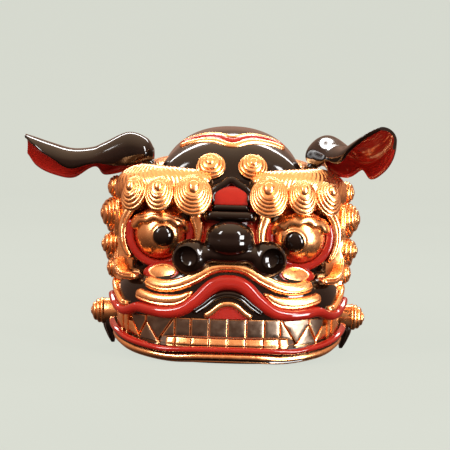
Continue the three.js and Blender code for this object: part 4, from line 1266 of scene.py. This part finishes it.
def build_ear(seat):
    """A scoop that is black outside and along its near edge, and red inside.

    A section is `height` high above its middle, and its flaps hang on a curve `drop` deep.
    """
    rows = smooth(EAR_ROWS, 110)
    along, lift, half_width, height, drop, wall, near, far = (column[:, None] for column in rows.T)
    share = np.linspace(0, 1, 44)[None, :]
    angle = np.radians(-near + (near + far) * share)

    def layer(inset, angle):
        rise = np.cos(angle)
        reach = np.where(rise > 0, height, drop)
        y = (half_width - inset) * np.sin(angle)
        z = lift + (reach - inset) * rise
        return np.stack([np.broadcast_to(seat.sign * along, y.shape), y, z], -1)

    turn = np.linspace(0, np.pi, 7)[None, 1:-1]
    bulge = np.degrees(np.sin(turn)) * 0.5 * wall / half_width
    depth = wall * (0.5 - 0.5 * np.cos(turn))
    far_rim = layer(depth, np.radians(far + bulge))
    near_rim = layer(depth, np.radians(-near - bulge))[:, ::-1]
    ring = np.concatenate([layer(0, angle), far_rim, layer(wall, angle)[:, ::-1], near_rim], axis=1)
    finish = np.zeros(ring.shape[1], int)
    inner_start = share.shape[1] + turn.shape[1]
    finish[share.shape[1] : inner_start + share.shape[1] - 1] = 1
    turned = Matrix.Rotation(math.radians(-seat.sign * seat.swing), 3, "Z")
    turned @= Matrix.Rotation(math.radians(-seat.sign * seat.lift), 3, "Y")
    turned @= Matrix.Rotation(math.radians(-seat.roll), 3, "X")
    form = Form()
    form.grid(np.array(seat.root) + ring @ np.array(turned).T, finish, around=True, capped=(True, True))
    radius = EAR_PEG.radius
    profile = [(0, -EAR_PEG.length), (radius - 1, -EAR_PEG.length), (radius, 1 - EAR_PEG.length)]
    profile += [(radius, EAR_PEG.reach), (0, EAR_PEG.reach)]
    lathe(form, np.array(seat.root), (seat.sign, 0, 1), profile, 40)
    carved(f"ear_{seat.name}", f"{seat.name}_ear", form, BLACK, RED)


# Studio

CAMERA = Sizes(target=(-6, 0, 144), distance=2400, elevation_deg=5, roll_deg=1.6, lens=160, sensor=36)


def build_camera():
    data = bpy.data.cameras.new("camera")
    data.lens = CAMERA.lens
    data.sensor_width = CAMERA.sensor
    elevation, roll = math.radians(CAMERA.elevation_deg), math.radians(CAMERA.roll_deg)
    back = Vector((0, -math.cos(elevation), math.sin(elevation)))
    level_right = Vector((1, 0, 0))
    level_up = back.cross(level_right)
    right = level_right * math.cos(roll) + level_up * math.sin(roll)
    up = level_up * math.cos(roll) - level_right * math.sin(roll)
    place = (Vector(CAMERA.target) + back * CAMERA.distance) * MM
    camera = bpy.data.objects.new("camera", data)
    camera.matrix_world = Matrix.Translation(place) @ Matrix((right, up, back)).transposed().to_4x4()
    bpy.context.scene.collection.objects.link(camera)
    bpy.context.scene.camera = camera


def build_world():
    """A warm room that is dark below, dim at eye level and bright overhead."""
    world = bpy.data.worlds.new("studio")
    world.use_nodes = True
    tree = world.node_tree
    direction = add_node(tree, "ShaderNodeTexCoord").outputs["Generated"]
    parts = add_node(tree, "ShaderNodeSeparateXYZ")
    tree.links.new(direction, parts.inputs["Vector"])
    lift = add_node(tree, "ShaderNodeMapRange", {"From Min": -1.0})
    tree.links.new(parts.outputs["Z"], lift.inputs["Value"])
    stops = [
        (0.0, (0.02, 0.012, 0.009)),
        (0.3, (0.14, 0.08, 0.06)),
        (0.5, (0.44, 0.25, 0.18)),
        (0.72, (0.60, 0.36, 0.25)),
        (0.86, (1.2, 0.78, 0.50)),
        (1.0, (1.8, 1.25, 0.82)),
    ]
    colour = ramp(tree, lift.outputs["Result"], stops)
    tree.links.new(colour, tree.nodes["Background"].inputs["Color"])
    bpy.context.scene.world = world


FLOOR = Sizes(flat=2500, bend=1200, wall=6000)


def build_floor():
    """A pale round floor that curves up into a wall all round and mostly glows, so that it stays even."""
    form = Form()
    angle = np.radians(np.linspace(0, 90, 24))
    curve = np.stack([FLOOR.flat + FLOOR.bend * np.sin(angle), FLOOR.bend * (1 - np.cos(angle))], -1)
    profile = np.vstack([[(0, 0)], curve, [(FLOOR.flat + FLOOR.bend, FLOOR.wall)]])
    lathe(form, np.zeros(3), (0, 0, 1), profile, 96)
    floor = loose_object("floor", form)
    constants = {"Roughness": 0.9, "Specular IOR Level": 0.0, "Emission Strength": 0.95}
    material, tree, shader, place = new_finish("floor", constants)
    shade = ramp(tree, noise(tree, place, 2), [(0.3, (0.018, 0.019, 0.017)), (0.7, (0.022, 0.023, 0.020))])
    tree.links.new(shade, shader.inputs["Base Color"])
    glow = ramp(tree, noise(tree, place, 1.3), [(0.3, (0.683, 0.712, 0.640)), (0.7, (0.692, 0.721, 0.650))])
    tree.links.new(glow, shader.inputs["Emission Color"])
    floor.data.materials.append(material)
    floor.data.shade_smooth()
    floor.visible_glossy = False
    floor.visible_diffuse = False
    floor.visible_shadow = False


Softbox = namedtuple("Softbox", "name place width height power shine scatter")
SOFTBOXES = (
    Softbox("behind", (0.0, 1.1, 1.35), 2.4, 0.16, 30, True, True),
    Softbox("upper_left", (-1.05, -1.10, 1.15), 0.25, 0.9, 20, True, True),
    Softbox("upper_right", (1.00, -1.20, 1.10), 0.25, 0.9, 28, True, True),
    Softbox("right", (1.20, -1.10, 0.12), 0.5, 0.6, 32, True, False),
    Softbox("front", (0.3, -1.6, 0.0), 1.2, 0.6, 9, False, True),
)
LIGHT_AIM = (0, -0.05, 0.15)


def area_light(box):
    """A softbox that its flags show as shine, as scattered light or as both."""
    data = bpy.data.lights.new(box.name, "AREA")
    data.shape = "RECTANGLE"
    data.size = box.width
    data.size_y = box.height
    data.energy = box.power
    light = bpy.data.objects.new(box.name, data)
    light.location = box.place
    light.rotation_euler = (Vector(LIGHT_AIM) - Vector(box.place)).to_track_quat("-Z", "Y").to_euler()
    light.visible_glossy = box.shine
    light.visible_diffuse = box.scatter
    bpy.context.scene.collection.objects.link(light)


def build_studio():
    bpy.context.scene.view_settings.view_transform = "Standard"
    build_world()
    build_floor()
    for box in SOFTBOXES:
        area_light(box)


# The whole head

build_camera()
build_studio()
inside = build_shell_and_crown()
build_crown_bands()
build_muzzle(inside)
build_muzzle_folds()
build_nose()
build_bridge()
for side_name, side_sign in SIDES:
    build_brow(side_name, side_sign)
    build_brow_curls(side_name, side_sign)
    build_eye(side_name, side_sign)
    build_cheek_pad(side_name, side_sign)
    build_tuft(side_name, side_sign)
    build_mane(side_name, side_sign)
for ear_seat in EAR_SEATS:
    build_ear(ear_seat)
build_upper_teeth()
build_lower_teeth()
build_jaw()
build_jaw_lips()
